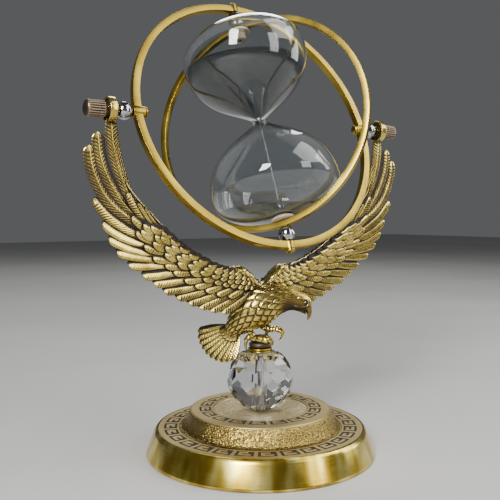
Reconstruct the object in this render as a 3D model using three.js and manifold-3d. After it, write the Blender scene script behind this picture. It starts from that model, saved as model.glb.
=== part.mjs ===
// An eagle that carries an hourglass in a double-ring gimbal between its raised wings.
// Millimetres, +Z up. The origin is the centre of the underside, +X runs along the wing-tip axis.
import * as THREE from "three";
import { mergeVertices } from "three/addons/utils/BufferGeometryUtils.js";
import Module from "manifold-3d";

const wasm = await Module();
wasm.setup();

// Driving dimensions
const GAP = 0.3; // clearance between pieces that touch
const BASE_R = 80;
const BASE_SIDES = 48;
const TIER_Z = 18.4; // top of the lower tier
const BASE_Z = 30.8; // top of the upper tier
const DISH_Z = 28.2; // bottom of the dish that the crystal stands in
const WALL = 4; // thickness of the base casting
const FELT = 2;
const ROD_R = 2.3; // tie rod through the stand
const BALL_R = 23;
const BALL_Z = 51.5;
const BALL_TOP_Z = 70;
const COLLAR_Z = 73.5;
const PERCH_Z = 77.2;
const PERCH_R = 7.9;

const GIMBAL_Z = 231.1; // centre of both rings
const TILT = THREE.MathUtils.degToRad(22.7); // the top of the outer ring leans back by this
const TURN = THREE.MathUtils.degToRad(54.8); // the inner ring is turned by this in the outer one
const OUTER = { r: 91.6, bar: 4.8, depth: 5 };
const INNER = { r: 76.1, bar: 4, depth: 4.6 };
const RING_SIDES = 64;
const BOSS_R = 3.7; // barrels brazed through the outer ring at its four pivots
// How far the barrels stand proud of the ring, inwards and outwards
const SIDE_BOSS = { inner: 2.4, outer: 1 };
const END_BOSS = { inner: 0, outer: 0.6 };
const SCREW_R = 1.9;
const SPACER_R = 5.7; // drilled chrome balls
const EYE = { x: 109.6, r: 8, thick: 4.8 };
const KNOB = { r: 5.4, groove: 0.5, ribs: 20, length: 12.4 };
const WASHER = { r: 4.4, thick: 0.8 };

const GLASS = { r: 44.5, s: 51.3, neckSide: 53.8, endSide: 20.4, slope: 1.46, blend: 7, wall: 1.3 };
const GLASS_SIDES = 32;
const WAIST_R = 4.6; // outside of the waist
const ORIFICE_R = 1.8; // inside of the waist
const FILL_R = 5; // fill hole at the end of each bulb
const PLUG = { r: 8, thick: 1.6, stub: 5 };

const WING = { thick: 4.6, root: 3, bend: 62, band: 121 };
const HEADING = THREE.MathUtils.degToRad(-37); // the way the eagle faces, from +X

// Materials
const metal = (color, roughness) => new THREE.MeshStandardMaterial({ color, roughness, metalness: 1 });
const BRASS = metal(0xc2a24a, 0.32);
const ANTIQUE = metal(0xa88d45, 0.42);
const POLISHED = metal(0xc9a23c, 0.25);
const DARK = metal(0x4a3d30, 0.5);
const CHROME = metal(0xd8dadf, 0.08);
const STEEL = metal(0x9a9a98, 0.35);
const CRYSTAL = new THREE.MeshStandardMaterial({ color: 0xf2f6f8, roughness: 0.03, transparent: true, opacity: 0.4 });
const SAND = new THREE.MeshStandardMaterial({ color: 0x46525a, roughness: 0.95 });
const PAD = new THREE.MeshStandardMaterial({ color: 0xcdbf98, roughness: 0.7 });
const FELT_CLOTH = new THREE.MeshStandardMaterial({ color: 0x1d1d1f, roughness: 1 });

// A closed surface as a solid that can be joined and cut
function solid(geometry) {
  const bare = geometry.clone();
  for (const name of Object.keys(bare.attributes)) if (name !== "position") bare.deleteAttribute(name);
  const merged = mergeVertices(bare, 1e-4);
  return new wasm.Manifold(
    new wasm.Mesh({
      numProp: 3,
      vertProperties: merged.attributes.position.array,
      triVerts: new Uint32Array(merged.index.array),
    }),
  );
}

function geometryOf(body) {
  const made = body.getMesh();
  return new THREE.BufferGeometry()
    .setAttribute("position", new THREE.BufferAttribute(made.vertProperties, 3))
    .setIndex(new THREE.BufferAttribute(made.triVerts, 1));
}

function piece(name, shape, material) {
  const geometry = shape.isBufferGeometry ? shape : geometryOf(shape);
  const mesh = new THREE.Mesh(geometry, material);
  mesh.name = name;
  return mesh;
}

// A solid of revolution about Z from an outline of [radius, z] points, listed anticlockwise
function turned(outline, sides = 32) {
  const points = outline.map(([r, z]) => new THREE.Vector2(r, z));
  if (outline[0][0] > 0) points.push(points[0].clone());
  return new THREE.LatheGeometry(points, sides).rotateX(Math.PI / 2);
}

// A tube or disc along Z between two heights, drilled when a hole is given
function disc(r, low, high, hole = 0, sides = 32) {
  return turned([[hole, low], [r, low], [r, high], [hole, high]], sides);
}

const alongX = (geometry) => geometry.rotateY(Math.PI / 2);

// A closed skin over elliptical sections. A station is [ahead, aside, up, half height, half width]
const AHEAD = new THREE.Vector3(Math.cos(HEADING), Math.sin(HEADING), 0);
const ASIDE = new THREE.Vector3(-Math.sin(HEADING), Math.cos(HEADING), 0);
const inBird = (ahead, aside, up) =>
  new THREE.Vector3(0, 0, up).addScaledVector(AHEAD, ahead).addScaledVector(ASIDE, aside);

function loft(stations, sides = 16, swell = 0) {
  const centres = stations.map(([a, b, c]) => inBird(a, b, c));
  const points = [];
  const faces = [];
  stations.forEach(([, , , height, width], i) => {
    const before = centres[Math.max(i - 1, 0)];
    const after = centres[Math.min(i + 1, centres.length - 1)];
    const along = after.clone().sub(before).normalize();
    const across = ASIDE.clone().addScaledVector(along, -ASIDE.dot(along)).normalize();
    const over = new THREE.Vector3().crossVectors(along, across);
    for (let k = 0; k < sides; k++) {
      const turn = (2 * Math.PI * k) / sides;
      const point = centres[i].clone();
      point.addScaledVector(across, (width + swell) * Math.cos(turn));
      point.addScaledVector(over, (height + swell) * Math.sin(turn));
      points.push(point);
    }
  });
  for (let i = 0; i < stations.length - 1; i++)
    for (let k = 0; k < sides; k++) {
      const [a, b] = [i * sides + k, i * sides + ((k + 1) % sides)];
      faces.push(a, b, b + sides, a, b + sides, a + sides);
    }
  const ends = [points.push(centres[0]) - 1, points.push(centres.at(-1)) - 1];
  const last = (stations.length - 1) * sides;
  for (let k = 0; k < sides; k++) {
    const next = (k + 1) % sides;
    faces.push(ends[0], next, k, ends[1], last + k, last + next);
  }
  return new THREE.BufferGeometry().setFromPoints(points).setIndex(faces);
}

// A pointed blade from its root to a rounded tip, flat in the XY plane
function bladeShape(length, width) {
  const shape = new THREE.Shape();
  shape.moveTo(0, -width * 0.35);
  shape.quadraticCurveTo(length * 0.55, -width * 0.62, length * 0.93, -width * 0.34);
  shape.quadraticCurveTo(length * 1.05, 0, length * 0.93, width * 0.34);
  shape.quadraticCurveTo(length * 0.55, width * 0.62, 0, width * 0.35);
  shape.closePath();
  return shape;
}

function plate(shape, thick, steps = 4) {
  return new THREE.ExtrudeGeometry(shape, { depth: thick, bevelEnabled: false, curveSegments: steps }).translate(
    0,
    0,
    -thick / 2,
  );
}

// The stand
function baseShell() {
  const skirt = 0.6; // the rim stops just above the ground, round the felt
  const felt = FELT + GAP;
  return turned([
    [ROD_R + GAP, DISH_Z - WALL],
    [45, DISH_Z - WALL],
    [49, TIER_Z - WALL],
    [70, TIER_Z - WALL],
    [74.5, felt],
    [77.5, felt],
    [77.5, skirt],
    [BASE_R, skirt],
    [BASE_R, 2],
    [74.4, 16.6],
    [72.6, TIER_Z],
    [55.6, TIER_Z],
    [53.4, 20.4],
    [50, 29.8],
    [48.8, BASE_Z],
    [33.6, BASE_Z],
    [33, 30.1],
    [22, 28.8],
    [12, DISH_Z],
    [ROD_R + GAP, DISH_Z],
  ], BASE_SIDES);
}

function crystalBall() {
  const outline = [];
  const low = Math.asin((DISH_Z + GAP + 0.4 - BALL_Z) / BALL_R);
  const high = Math.asin((BALL_TOP_Z - BALL_Z) / BALL_R);
  const rows = 7;
  for (let i = 0; i <= rows; i++) {
    const turn = low + ((high - low) * i) / rows;
    outline.push([BALL_R * Math.cos(turn), BALL_Z + BALL_R * Math.sin(turn)]);
  }
  const hole = ROD_R + GAP;
  return turned([[hole, outline[0][1]], ...outline, [hole, BALL_TOP_Z]], 16);
}

function collar() {
  const low = BALL_TOP_Z + GAP;
  const bead = (COLLAR_Z - low) / 2;
  const outline = [[ROD_R + GAP, low]];
  for (const middle of [low + bead / 2, low + bead * 1.5])
    for (const turn of [-60, 0, 60]) {
      const angle = THREE.MathUtils.degToRad(turn);
      outline.push([7.6 + 0.9 * Math.cos(angle), middle + (bead / 2) * Math.sin(angle)]);
    }
  return turned([...outline, [ROD_R + GAP, COLLAR_Z]], 24);
}

function hexNut(acrossFlats, low, high) {
  const shape = new THREE.Shape();
  for (let k = 0; k < 6; k++) {
    const angle = (Math.PI / 3) * k;
    const corner = acrossFlats / Math.sqrt(3);
    if (k === 0) shape.moveTo(corner, 0);
    else shape.lineTo(corner * Math.cos(angle), corner * Math.sin(angle));
  }
  shape.closePath();
  shape.holes.push(new THREE.Path().absarc(0, 0, ROD_R + GAP, 0, 2 * Math.PI, true));
  return plate(shape, high - low, 12).translate(0, 0, (low + high) / 2);
}

// The eagle. Stations run from the tail to the beak
const BODY = [
  [-21, 0, 84.5, 5, 5.4],
  [-15, 0, 90.5, 9, 8.6],
  [-8, 0, 97.5, 12.8, 10.8],
  [0, 0, 103.6, 14.6, 11.4],
  [8, 0, 106.8, 12, 10.2],
  [15, 0, 107.6, 8.8, 8.2],
  [21, 0, 108, 6.7, 6.4],
  [27, 0, 106.9, 6, 5.4],
  [31.5, 0, 105, 4.8, 4.4],
  [34.6, 0, 102.6, 3.6, 3],
  [36, 0, 99.2, 2.2, 1.9],
  [35.2, 0, 95.6, 1.4, 1.2],
  [33.7, 0, 92.6, 0.5, 0.5],
];
const LEG = [
  [-8, -3, 92, 4.6, 4.2],
  [-8, -3, 87, 3, 2.8],
  [-6, -2, 82.5, 2, 2],
];
const RAISED_LEG = [
  [0, 4, 93, 4, 3.6],
  [3, 4, 89, 2.6, 2.4],
  [8, 4, 87.4, 2, 2.4],
  [13.4, 4, 87.6, 1.8, 2],
  [16.4, 4, 84.4, 1.3, 1.3],
  [15.6, 4, 81, 0.9, 0.9],
  [13.8, 4, 79, 0.4, 0.4],
];
const BACK_TOE = [
  [-4, -2, 81, 2, 2],
  [-8.8, -2, 79.4, 1.8, 1.8],
  [-11, -2, 76.2, 1.4, 1.4],
  [-11, -2, 71.8, 0.4, 0.4],
];
// Toes grip the perch: a front toe leaves the ankle at a yaw and ends in a talon
function toe(yaw) {
  const reach = (distance, up, thick) => {
    const turn = THREE.MathUtils.degToRad(yaw);
    return [-6 + distance * Math.cos(turn), -2 + distance * Math.sin(turn), up, thick, thick];
  };
  return loft([reach(0, 81, 2), reach(7, 80.6, 2), reach(13, 80, 1.9), reach(15.4, 77, 1), reach(15, 74.8, 0.4)], 8);
}

// Seven feathers fan out from the tail root, in a plane turned halfway towards the side
function tailFeathers() {
  const back = new THREE.Vector3().copy(AHEAD).multiplyScalar(-0.77);
  back.z = -0.64;
  const above = new THREE.Vector3().copy(AHEAD).multiplyScalar(-0.64);
  above.z = 0.77;
  const lean = THREE.MathUtils.degToRad(35);
  const spread = above.multiplyScalar(Math.cos(lean)).addScaledVector(ASIDE, Math.sin(lean)).normalize();
  const face = new THREE.Vector3().crossVectors(back, spread).normalize();
  const frame = new THREE.Matrix4().makeBasis(back.normalize(), spread, face).setPosition(inBird(-15, 0, 87));
  let fan = null;
  for (let k = -3; k <= 3; k++) {
    const blade = plate(bladeShape(31 - 0.5 * k * k, 8.4), 1.8 + 0.2 * (3 - Math.abs(k)), 3);
    const feather = solid(blade.rotateZ(THREE.MathUtils.degToRad(12 * k)).applyMatrix4(frame));
    fan = fan ? fan.add(feather) : feather;
  }
  return fan;
}

function eagleBody(swell = 0) {
  let body = solid(loft(BODY, 20, swell));
  if (swell) return body;
  for (const limb of [LEG, RAISED_LEG, BACK_TOE]) body = body.add(solid(loft(limb, 8)));
  for (const yaw of [-16, 8, 32]) body = body.add(solid(toe(yaw)));
  const seat = solid(disc(PERCH_R + GAP, COLLAR_Z, PERCH_Z + GAP));
  body = body.add(tailFeathers()).subtract(seat);
  for (const side of [-1, 1]) body = body.subtract(solid(wingPin(side, GAP)));
  return body;
}

// A wing is a flat casting in the XZ plane. Places in it are a radius and an angle from straight
// down about the gimbal's centre, so that the leading edge follows the outer ring
function onWing(side, r, degrees) {
  const angle = THREE.MathUtils.degToRad(degrees);
  return new THREE.Vector2(side * r * Math.sin(angle), GIMBAL_Z - r * Math.cos(angle));
}

const bump = (x, middle, width) => Math.exp(-(((x - middle) / width) ** 2));
const leadingEdge = (degrees) => 103 + 5.5 * bump(degrees, 67, 11) + 9 * bump(degrees, 0, 7);

function upright(geometry) {
  return geometry.rotateX(Math.PI / 2);
}

function wingBand(side) {
  const shape = new THREE.Shape();
  const edge = [];
  for (let a = WING.root; a <= WING.bend; a += 4) edge.push(onWing(side, leadingEdge(a), a));
  for (let a = WING.bend; a >= 6; a -= 6) edge.push(onWing(side, WING.band + 4 * bump(a, 20, 24), a));
  shape.setFromPoints(edge);
  shape.closePath();
  return solid(upright(plate(shape, WING.thick)));
}

function feather(side, root, tip, width, thick) {
  const from = onWing(side, ...root);
  const to = onWing(side, ...tip);
  const run = to.clone().sub(from);
  const blade = plate(bladeShape(run.length(), width), thick, 3);
  blade.rotateZ(run.angle()).translate(from.x, from.y, 0);
  return solid(upright(blade));
}

// A long feather that bends along a curve through places on the wing
function bentFeather(side, places, width, thick) {
  const spine = new THREE.SplineCurve(places.map(([r, degrees]) => onWing(side, r, degrees)));
  const steps = 8;
  const edges = [[], []];
  for (let i = 0; i <= steps; i++) {
    const share = i / steps;
    const half = (width / 2) * Math.min(0.6 + share, 1) * Math.sqrt(1 - 0.8 * share ** 8);
    const across = spine.getTangentAt(share).rotateAround(new THREE.Vector2(), Math.PI / 2);
    edges[0].push(spine.getPointAt(share).addScaledVector(across, half));
    edges[1].push(spine.getPointAt(share).addScaledVector(across, -half));
  }
  const tip = spine.getPointAt(1).addScaledVector(spine.getTangentAt(1), 1.5);
  const shape = new THREE.Shape([...edges[0], tip, ...edges[1].reverse()]);
  return solid(upright(plate(shape, thick)));
}

const FLIGHT_FEATHERS = 14;
function wing(side) {
  let body = wingBand(side);
  body = body.add(bentFeather(side, [[112, 55], [110.6, 70], [109.4, 88]], 10, WING.thick));
  body = body.add(bentFeather(side, [[114, 54], [119.3, 69.5], [118.8, 82.6]], 9.4, 4));
  body = body.add(bentFeather(side, [[114.5, 50], [123.4, 61.5], [127.8, 73.6], [126.6, 79]], 12, 3.6));
  body = body.add(bentFeather(side, [[114.5, 46], [122, 53], [128.2, 59.6], [132.2, 65.4]], 10.4, 3.6));
  for (let k = 1; k < FLIGHT_FEATHERS; k++) {
    const tip = 64 - 4.1 * k;
    const reach = 134 + 4 * bump(k, 4, 3) + 2 * bump(k, 13, 6);
    body = body.add(feather(side, [111, Math.max(tip - 14, 3.4)], [reach, tip], 9.6, 3.2));
  }
  body = body.subtract(solid(outerSweep()));
  const lug = alongX(disc(EYE.r, -EYE.thick / 2, EYE.thick / 2, 0, 32)).translate(side * EYE.x, 0, GIMBAL_Z);
  const bore = alongX(disc(SCREW_R + GAP, -9, 9, 0, 24)).translate(side * EYE.x, 0, GIMBAL_Z);
  const pinHole = solid(wingPin(side, GAP));
  return body.add(solid(lug)).subtract(solid(bore)).subtract(eagleBody(GAP)).subtract(pinHole);
}

// The space between the wings that the turning gimbal and its spacer balls need
function outerSweep() {
  const room = EYE.x - EYE.thick / 2;
  return alongX(disc(SPACER_R + 1.5, -room, room)).translate(0, 0, GIMBAL_Z);
}

// Each wing is held by a dowel that crosses the joint between its root and the body
const WING_PIN = { from: 6, to: 20, z: 112, r: 1.2 };
function wingPin(side, swell = 0) {
  const { from, to, z, r } = WING_PIN;
  const pin = disc(r + swell, from - swell, to + swell, 0, 16);
  return pin.rotateY((side * Math.PI) / 2).translate(0, 0, z);
}

function stand() {
  const group = new THREE.Group();
  const under = DISH_Z - WALL; // underside of the base's middle
  const hole = ROD_R + GAP;
  group.add(
    piece("base_shell", baseShell(), POLISHED),
    piece("felt_pad", disc(77.2, 0, FELT, 0, BASE_SIDES), FELT_CLOTH),
    piece("base_washer", disc(8, under - GAP - 1.4, under - GAP, hole, 24), STEEL),
    piece("base_nut", hexNut(8, under - GAP * 2 - 5.4, under - GAP * 2 - 1.4), STEEL),
    piece("tie_rod", disc(ROD_R, 14, PERCH_Z - 1, 0, 16), STEEL),
    piece("crystal_ball", crystalBall(), CRYSTAL),
    piece("collar", collar(), BRASS),
    piece("perch", perch(), DARK),
    piece("eagle_body", eagleBody(), ANTIQUE),
    piece("wing_left", wing(-1), ANTIQUE),
    piece("wing_right", wing(1), ANTIQUE),
    piece("wing_pin_left", wingPin(-1), STEEL),
    piece("wing_pin_right", wingPin(1), STEEL),
  );
  return group;
}

// The perch has a blind hole for the rod, and is cut back where the toes grip it
function perch() {
  const low = COLLAR_Z + GAP;
  const block = solid(disc(PERCH_R, low, PERCH_Z));
  return block.subtract(solid(disc(ROD_R + GAP, low - 1, PERCH_Z - 0.7, 0, 16)));
}

// The gimbal. In a ring's own group the ring stands in the XZ plane with its centre at the origin
function ringBar({ r, bar, depth }) {
  const [near, far, half] = [r - bar / 2, r + bar / 2, depth / 2];
  const outline = [[near, -half], [far, -half], [far, half], [near, half]];
  return solid(turned(outline, RING_SIDES).rotateX(Math.PI / 2));
}

// A barrel, ball or screw is turned along Z and then pointed at one of the four pivots
const OUTER_FACE = OUTER.r + OUTER.bar / 2;
const POINTING = { top: 0, right: Math.PI / 2, bottom: Math.PI, left: -Math.PI / 2 };
const pointed = (geometry, where) => geometry.rotateY(POINTING[where]);

function outerRing() {
  let ring = ringBar(OUTER);
  for (const where of Object.keys(POINTING)) {
    const { inner, outer } = where === "left" || where === "right" ? SIDE_BOSS : END_BOSS;
    const barrel = disc(BOSS_R, OUTER.r - OUTER.bar / 2 - inner, OUTER_FACE + outer, 0, 16);
    ring = ring.add(solid(pointed(barrel, where)));
  }
  for (const where of Object.keys(POINTING)) {
    const hole = disc(SCREW_R + GAP, OUTER.r - 9, OUTER.r + 9, 0, 16);
    ring = ring.subtract(solid(pointed(hole, where)));
  }
  return ring;
}

function spacerBall(where, low, high) {
  const middle = (low + high) / 2;
  const half = (high - low) / 2;
  const outline = [[SCREW_R + GAP, low]];
  const rows = 8;
  const limit = Math.asin(half / SPACER_R);
  for (let i = 0; i <= rows; i++) {
    const turn = -limit + (2 * limit * i) / rows;
    outline.push([SPACER_R * Math.cos(turn), middle + SPACER_R * Math.sin(turn)]);
  }
  return pointed(turned([...outline, [SCREW_R + GAP, high]], 16), where);
}

// A round head on a shank. The head's flat side is at seat, and the shank runs to tip
function roundHeadScrew(where, headR, headHigh, seat, tip) {
  const up = Math.sign(seat - tip); // +1 when the head is the outer end
  const dome = [0, 30, 60, 90].map((turn) => {
    const angle = THREE.MathUtils.degToRad(turn);
    return [headR * Math.cos(angle), seat + up * headHigh * Math.sin(angle)];
  });
  dome.at(-1)[0] = 0;
  const outline = [[0, tip], [SCREW_R, tip], [SCREW_R, seat], ...dome];
  return pointed(turned(up > 0 ? outline : outline.reverse(), 16), where);
}

// The knurled knob is ribbed along its length and rounded at its outer end
function thumbNut(where) {
  const low = EYE.x + EYE.thick / 2 + WASHER.thick + 2 * GAP;
  const shape = new THREE.Shape();
  const teeth = KNOB.ribs * 2;
  for (let k = 0; k < teeth; k++) {
    const r = KNOB.r - (k % 2 ? KNOB.groove : 0);
    const angle = (2 * Math.PI * k) / teeth;
    if (k === 0) shape.moveTo(r, 0);
    else shape.lineTo(r * Math.cos(angle), r * Math.sin(angle));
  }
  shape.closePath();
  const barrel = plate(shape, KNOB.length - 2).translate(0, 0, low + (KNOB.length - 2) / 2);
  const end = low + KNOB.length;
  const cap = turned([[0, end - 4], [4.6, end - 4], [KNOB.r, end - 3], [KNOB.r, end - 1.4], [4.4, end], [0, end]], 20);
  const hole = disc(SCREW_R + GAP, low - 1, end - 3, 0, 16);
  const made = solid(barrel).add(solid(cap)).subtract(solid(hole));
  return pointed(geometryOf(made), where);
}

const SCREW_END = EYE.x + EYE.thick / 2 + 8; // the wing-tip screws end inside the knobs
const PIVOT_END = GLASS.s + GLASS.endSide - PLUG.stub + 1; // the pivot screws end inside the plugs

function outerGroup() {
  const group = new THREE.Group();
  group.add(piece("outer_ring", outerRing(), BRASS));
  for (const where of ["left", "right"]) {
    const face = EYE.x - EYE.thick / 2;
    const inner = [face - GAP - WASHER.thick, face - GAP];
    const outer = [face + EYE.thick + GAP, face + EYE.thick + GAP + WASHER.thick];
    const hole = SCREW_R + GAP;
    const seat = OUTER.r - OUTER.bar / 2 - SIDE_BOSS.inner - GAP;
    const ball = [OUTER_FACE + SIDE_BOSS.outer + GAP, inner[0] - GAP];
    group.add(
      piece(`axle_screw_${where}`, roundHeadScrew(where, 2.9, 2, seat, SCREW_END), CHROME),
      piece(`spacer_ball_${where}`, spacerBall(where, ...ball), CHROME),
      piece(`washer_inner_${where}`, pointed(disc(WASHER.r, ...inner, hole, 20), where), BRASS),
      piece(`washer_outer_${where}`, pointed(disc(WASHER.r, ...outer, hole, 20), where), BRASS),
      piece(`thumb_nut_${where}`, thumbNut(where), DARK),
    );
  }
  for (const where of ["top", "bottom"]) {
    const inside = INNER.r + INNER.bar / 2 + GAP;
    const outside = OUTER.r - OUTER.bar / 2 - GAP;
    const seat = OUTER_FACE + END_BOSS.outer + GAP;
    group.add(
      piece(`spacer_ball_${where}`, spacerBall(where, inside, outside), CHROME),
      piece(`pivot_screw_${where}`, roundHeadScrew(where, 3.2, 2.2, seat, PIVOT_END), BRASS),
    );
  }
  return group;
}

// The inner ring has a pivot hole at top and bottom, and a small empty hole at each side
function innerRing() {
  let ring = ringBar(INNER);
  for (const where of Object.keys(POINTING)) {
    const pivot = where === "top" || where === "bottom";
    const r = pivot ? SCREW_R + GAP : 1.2;
    ring = ring.subtract(solid(pointed(disc(r, INNER.r - 5, INNER.r + 5, 0, 16), where)));
  }
  return ring;
}

// Radius of a bulb at a distance s from the waist along the glass, drawn in by inset. A cone opens out
// of the waist and blends into the round of the bulb
function bulbRadius(s, inset, waist) {
  const away = Math.abs(s) - GLASS.s;
  const side = (away < 0 ? GLASS.neckSide : GLASS.endSide) - inset;
  const round = (GLASS.r - inset) * Math.sqrt(1 - Math.min(Math.abs(away) / side, 1) ** 2);
  const bend = waist + inset * Math.hypot(1, GLASS.slope);
  const cone = waist + Math.hypot(bend, GLASS.slope * s) - bend;
  return (round ** -GLASS.blend + cone ** -GLASS.blend) ** (-1 / GLASS.blend);
}

// One face of the glass from the waist outwards, as [radius, s]. The steps are even in angle, so
// that the points are closer together at the waist and at the rounded end
const NECK_STEPS = 9;
const END_STEPS = 6;
function glassFace(inset, waist) {
  const end = GLASS.endSide - inset;
  const lastTurn = Math.acos(FILL_R / (GLASS.r - inset));
  const places = [];
  for (let i = 0; i <= NECK_STEPS; i++) places.push(GLASS.s * (1 - Math.cos((Math.PI / 2) * (i / NECK_STEPS))));
  for (let i = 1; i <= END_STEPS; i++) places.push(GLASS.s + end * Math.sin(lastTurn * (i / END_STEPS)));
  return places.map((s) => [bulbRadius(s, inset, waist), s]);
}

function glassBulbs() {
  const outside = glassFace(0, WAIST_R);
  const inside = glassFace(GLASS.wall, ORIFICE_R);
  const below = (points) => points.slice(1).map(([r, s]) => [r, -s]);
  const outline = [...below(outside).reverse(), ...outside, ...inside.reverse(), ...below(inside.reverse())];
  return turned(outline, GLASS_SIDES);
}

// A plug has a flange on the end of the glass, and a stub in the fill hole, drilled for the screw
function plug(where) {
  const face = GLASS.s + GLASS.endSide + GAP;
  const hole = SCREW_R + GAP;
  const stub = FILL_R - GAP - 0.3;
  const outline = [
    [0, face - PLUG.stub - 1],
    [stub, face - PLUG.stub - 1],
    [stub, face],
    [PLUG.r, face],
    [PLUG.r, face + PLUG.thick],
    [hole, face + PLUG.thick],
    [hole, face - PLUG.stub],
    [0, face - PLUG.stub],
  ];
  return pointed(turned(outline, 24), where);
}

const SAND_INSET = GLASS.wall + GAP;
const UPPER_LEVEL = 42.5; // where each sand surface crosses the axis of the glass
const LOWER_LEVEL = -63.2;
const SAND_LEAN = 0.22; // both surfaces lie nearer to level than the glass, and fall to the front
const SAND_REACH = 54; // no sand surface climbs further than this from the waist
const SAND_FOOT = 1; // the upper sand reaches down to this far above the waist

// The part of a body that lies below the sand surface at a level
function underSurface(body, level) {
  const down = [-SAND_LEAN * Math.sin(TURN), SAND_LEAN * Math.cos(TURN), -1];
  return solid(body).trimByPlane(down, -level / Math.hypot(1, SAND_LEAN));
}

function upperSand() {
  const at = (s) => [bulbRadius(s, SAND_INSET, ORIFICE_R - GAP), s];
  const face = glassFace(SAND_INSET, ORIFICE_R - GAP).filter(([, s]) => s > SAND_FOOT && s < SAND_REACH);
  const outline = [[0, SAND_FOOT], at(SAND_FOOT), ...face, at(SAND_REACH), [0, SAND_REACH]];
  return underSurface(turned(outline, GLASS_SIDES), UPPER_LEVEL);
}

// The heap lies round the lower plug
function lowerSand() {
  const face = glassFace(SAND_INSET, 0).filter(([r, s]) => s > GLASS.s - GAP && r > 9);
  const skin = face.map(([r, s]) => [r, -s]).reverse();
  const overPlug = -GLASS.s - GLASS.endSide + PLUG.stub + 1;
  const body = turned([[0, overPlug], [6, overPlug], ...skin, [0, skin.at(-1)[1]]], GLASS_SIDES);
  return underSurface(body, LOWER_LEVEL);
}

function innerGroup() {
  const group = new THREE.Group();
  group.add(
    piece("inner_ring", innerRing(), BRASS),
    piece("glass_bulbs", glassBulbs(), CRYSTAL),
    piece("plug_top", plug("top"), PAD),
    piece("plug_bottom", plug("bottom"), PAD),
    piece("sand_upper", upperSand(), SAND),
    piece("sand_lower", lowerSand(), SAND),
    piece("sand_stream", disc(0.6, LOWER_LEVEL + 2 * GAP, SAND_FOOT - GAP, 0, 8), SAND),
  );
  return group;
}

const hourglass = new THREE.Group();
const outer = outerGroup();
const inner = innerGroup();
outer.position.z = GIMBAL_Z;
outer.rotation.x = -TILT;
inner.rotation.z = -TURN;
outer.add(inner);
hourglass.add(stand(), outer);

export default hourglass;
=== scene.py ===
import math

import bmesh
import bpy
import numpy as np
from mathutils import Matrix, Vector


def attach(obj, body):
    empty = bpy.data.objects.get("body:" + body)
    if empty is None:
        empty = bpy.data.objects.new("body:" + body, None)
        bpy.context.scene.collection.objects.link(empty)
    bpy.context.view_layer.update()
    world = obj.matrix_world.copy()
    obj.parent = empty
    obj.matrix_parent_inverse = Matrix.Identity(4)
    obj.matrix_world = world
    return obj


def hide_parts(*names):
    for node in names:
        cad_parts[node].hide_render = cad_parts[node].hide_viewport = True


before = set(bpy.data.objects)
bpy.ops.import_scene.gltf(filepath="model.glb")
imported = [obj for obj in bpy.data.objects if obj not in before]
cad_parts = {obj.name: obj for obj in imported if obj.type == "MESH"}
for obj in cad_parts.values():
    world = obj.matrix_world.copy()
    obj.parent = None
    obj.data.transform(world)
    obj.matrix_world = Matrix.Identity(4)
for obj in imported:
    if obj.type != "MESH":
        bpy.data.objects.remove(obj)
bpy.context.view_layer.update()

# All lengths below are in millimetres. MM turns them into Blender's metres.
MM = 0.001
SEED = 7

# The stand
BASE_R = 80
TIER_Z = 18.4
TIER_FLOOR = 15.5
CROWN_Z = 30.8
CROWN_FLOOR = 28.6
DISH_Z = 28.2
DISH_FLOOR = 24.4
KEY_DEPTH = 0.15
ROD_R = 2.3
ROD_LOW = 14
BALL_R = 23
BALL_Z = 51.5
COLLAR_LOW = 70.3
COLLAR_HIGH = 73.5
PERCH_HIGH = 77.2
PERCH_R = 7.9

# The gimbal
GIMBAL_Z = 231.1
TILT = math.radians(22.7)
TURN = math.radians(54.8)
OUTER_R = 91.6
OUTER_BAR = 4.8
OUTER_DEPTH = 5.0
INNER_R = 76.1
INNER_BAR = 4.0
INNER_DEPTH = 4.6
EMPTY_HOLE_R = 1.15
BOSS_R = 3.7
SCREW_R = 1.9
HOLE_R = 2.2
SPACER_R = 5.7
EYE_X = 109.6
EYE_R = 8.0
EYE_THICK = 4.8
KNOB_R = 5.4
KNOB_LOW = 113.4
KNOB_HIGH = 125.8

# The glass
GLASS_R = 44.5
GLASS_S = 51.3
NECK_SIDE = 53.8
END_SIDE = 20.4
NECK_SLOPE = 1.46
NECK_BLEND = 7
GLASS_WALL = 1.3
WAIST_R = 4.6
ORIFICE_R = 1.8
FILL_R = 5.0
UPPER_LEVEL = 42.5
LOWER_LEVEL = -63.2
SAND_LEAN = 0.22
SAND_INSET = GLASS_WALL + 0.12
SAND_SIDES = 120
PLUG_R = 8
PLUG_FACE = GLASS_S + END_SIDE + 0.3
STUB_END = PLUG_FACE - 6

# The eagle faces this way, from +X
HEADING = math.radians(-37)
AHEAD = np.array([math.cos(HEADING), math.sin(HEADING), 0.0])
ASIDE = np.array([-math.sin(HEADING), math.cos(HEADING), 0.0])
UP = np.array([0.0, 0.0, 1.0])


# ---------------------------------------------------------------- mesh tools
class Skin:
    """Collects the closed shells of one piece, in millimetres, with a darkness value per point for tarnish
    and painted shade.
    """

    def __init__(self):
        self.points = []
        self.faces = []
        self.shade = []
        self.count = 0

    def add(self, points, faces, shade=0.0):
        points = np.asarray(points, float).reshape(-1, 3)
        self.points.append(points)
        start = self.count
        self.faces.extend(tuple(i + start for i in f) for f in faces)
        self.shade.append(np.broadcast_to(np.asarray(shade, float).ravel(), len(points)))
        self.count += len(points)


def turns(count):
    """Even angles round a circle."""
    return np.arange(count) * 2 * math.pi / count


def chain(skin, rings, shade=0.0, closed=False):
    """A closed shell through rings of points, shape (rings, points, 3). Its ends are flat, or the last
    ring joins the first."""
    rings = np.asarray(rings, float)
    n, m = rings.shape[:2]
    faces = []
    for i in range(n if closed else n - 1):
        h = (i + 1) % n
        for j in range(m):
            k = (j + 1) % m
            faces.append((i * m + j, i * m + k, h * m + k, h * m + j))
    if not closed:
        faces.append(tuple(range(m - 1, -1, -1)))
        faces.append(tuple(range((n - 1) * m, n * m)))
    skin.add(rings, faces, shade)


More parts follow.
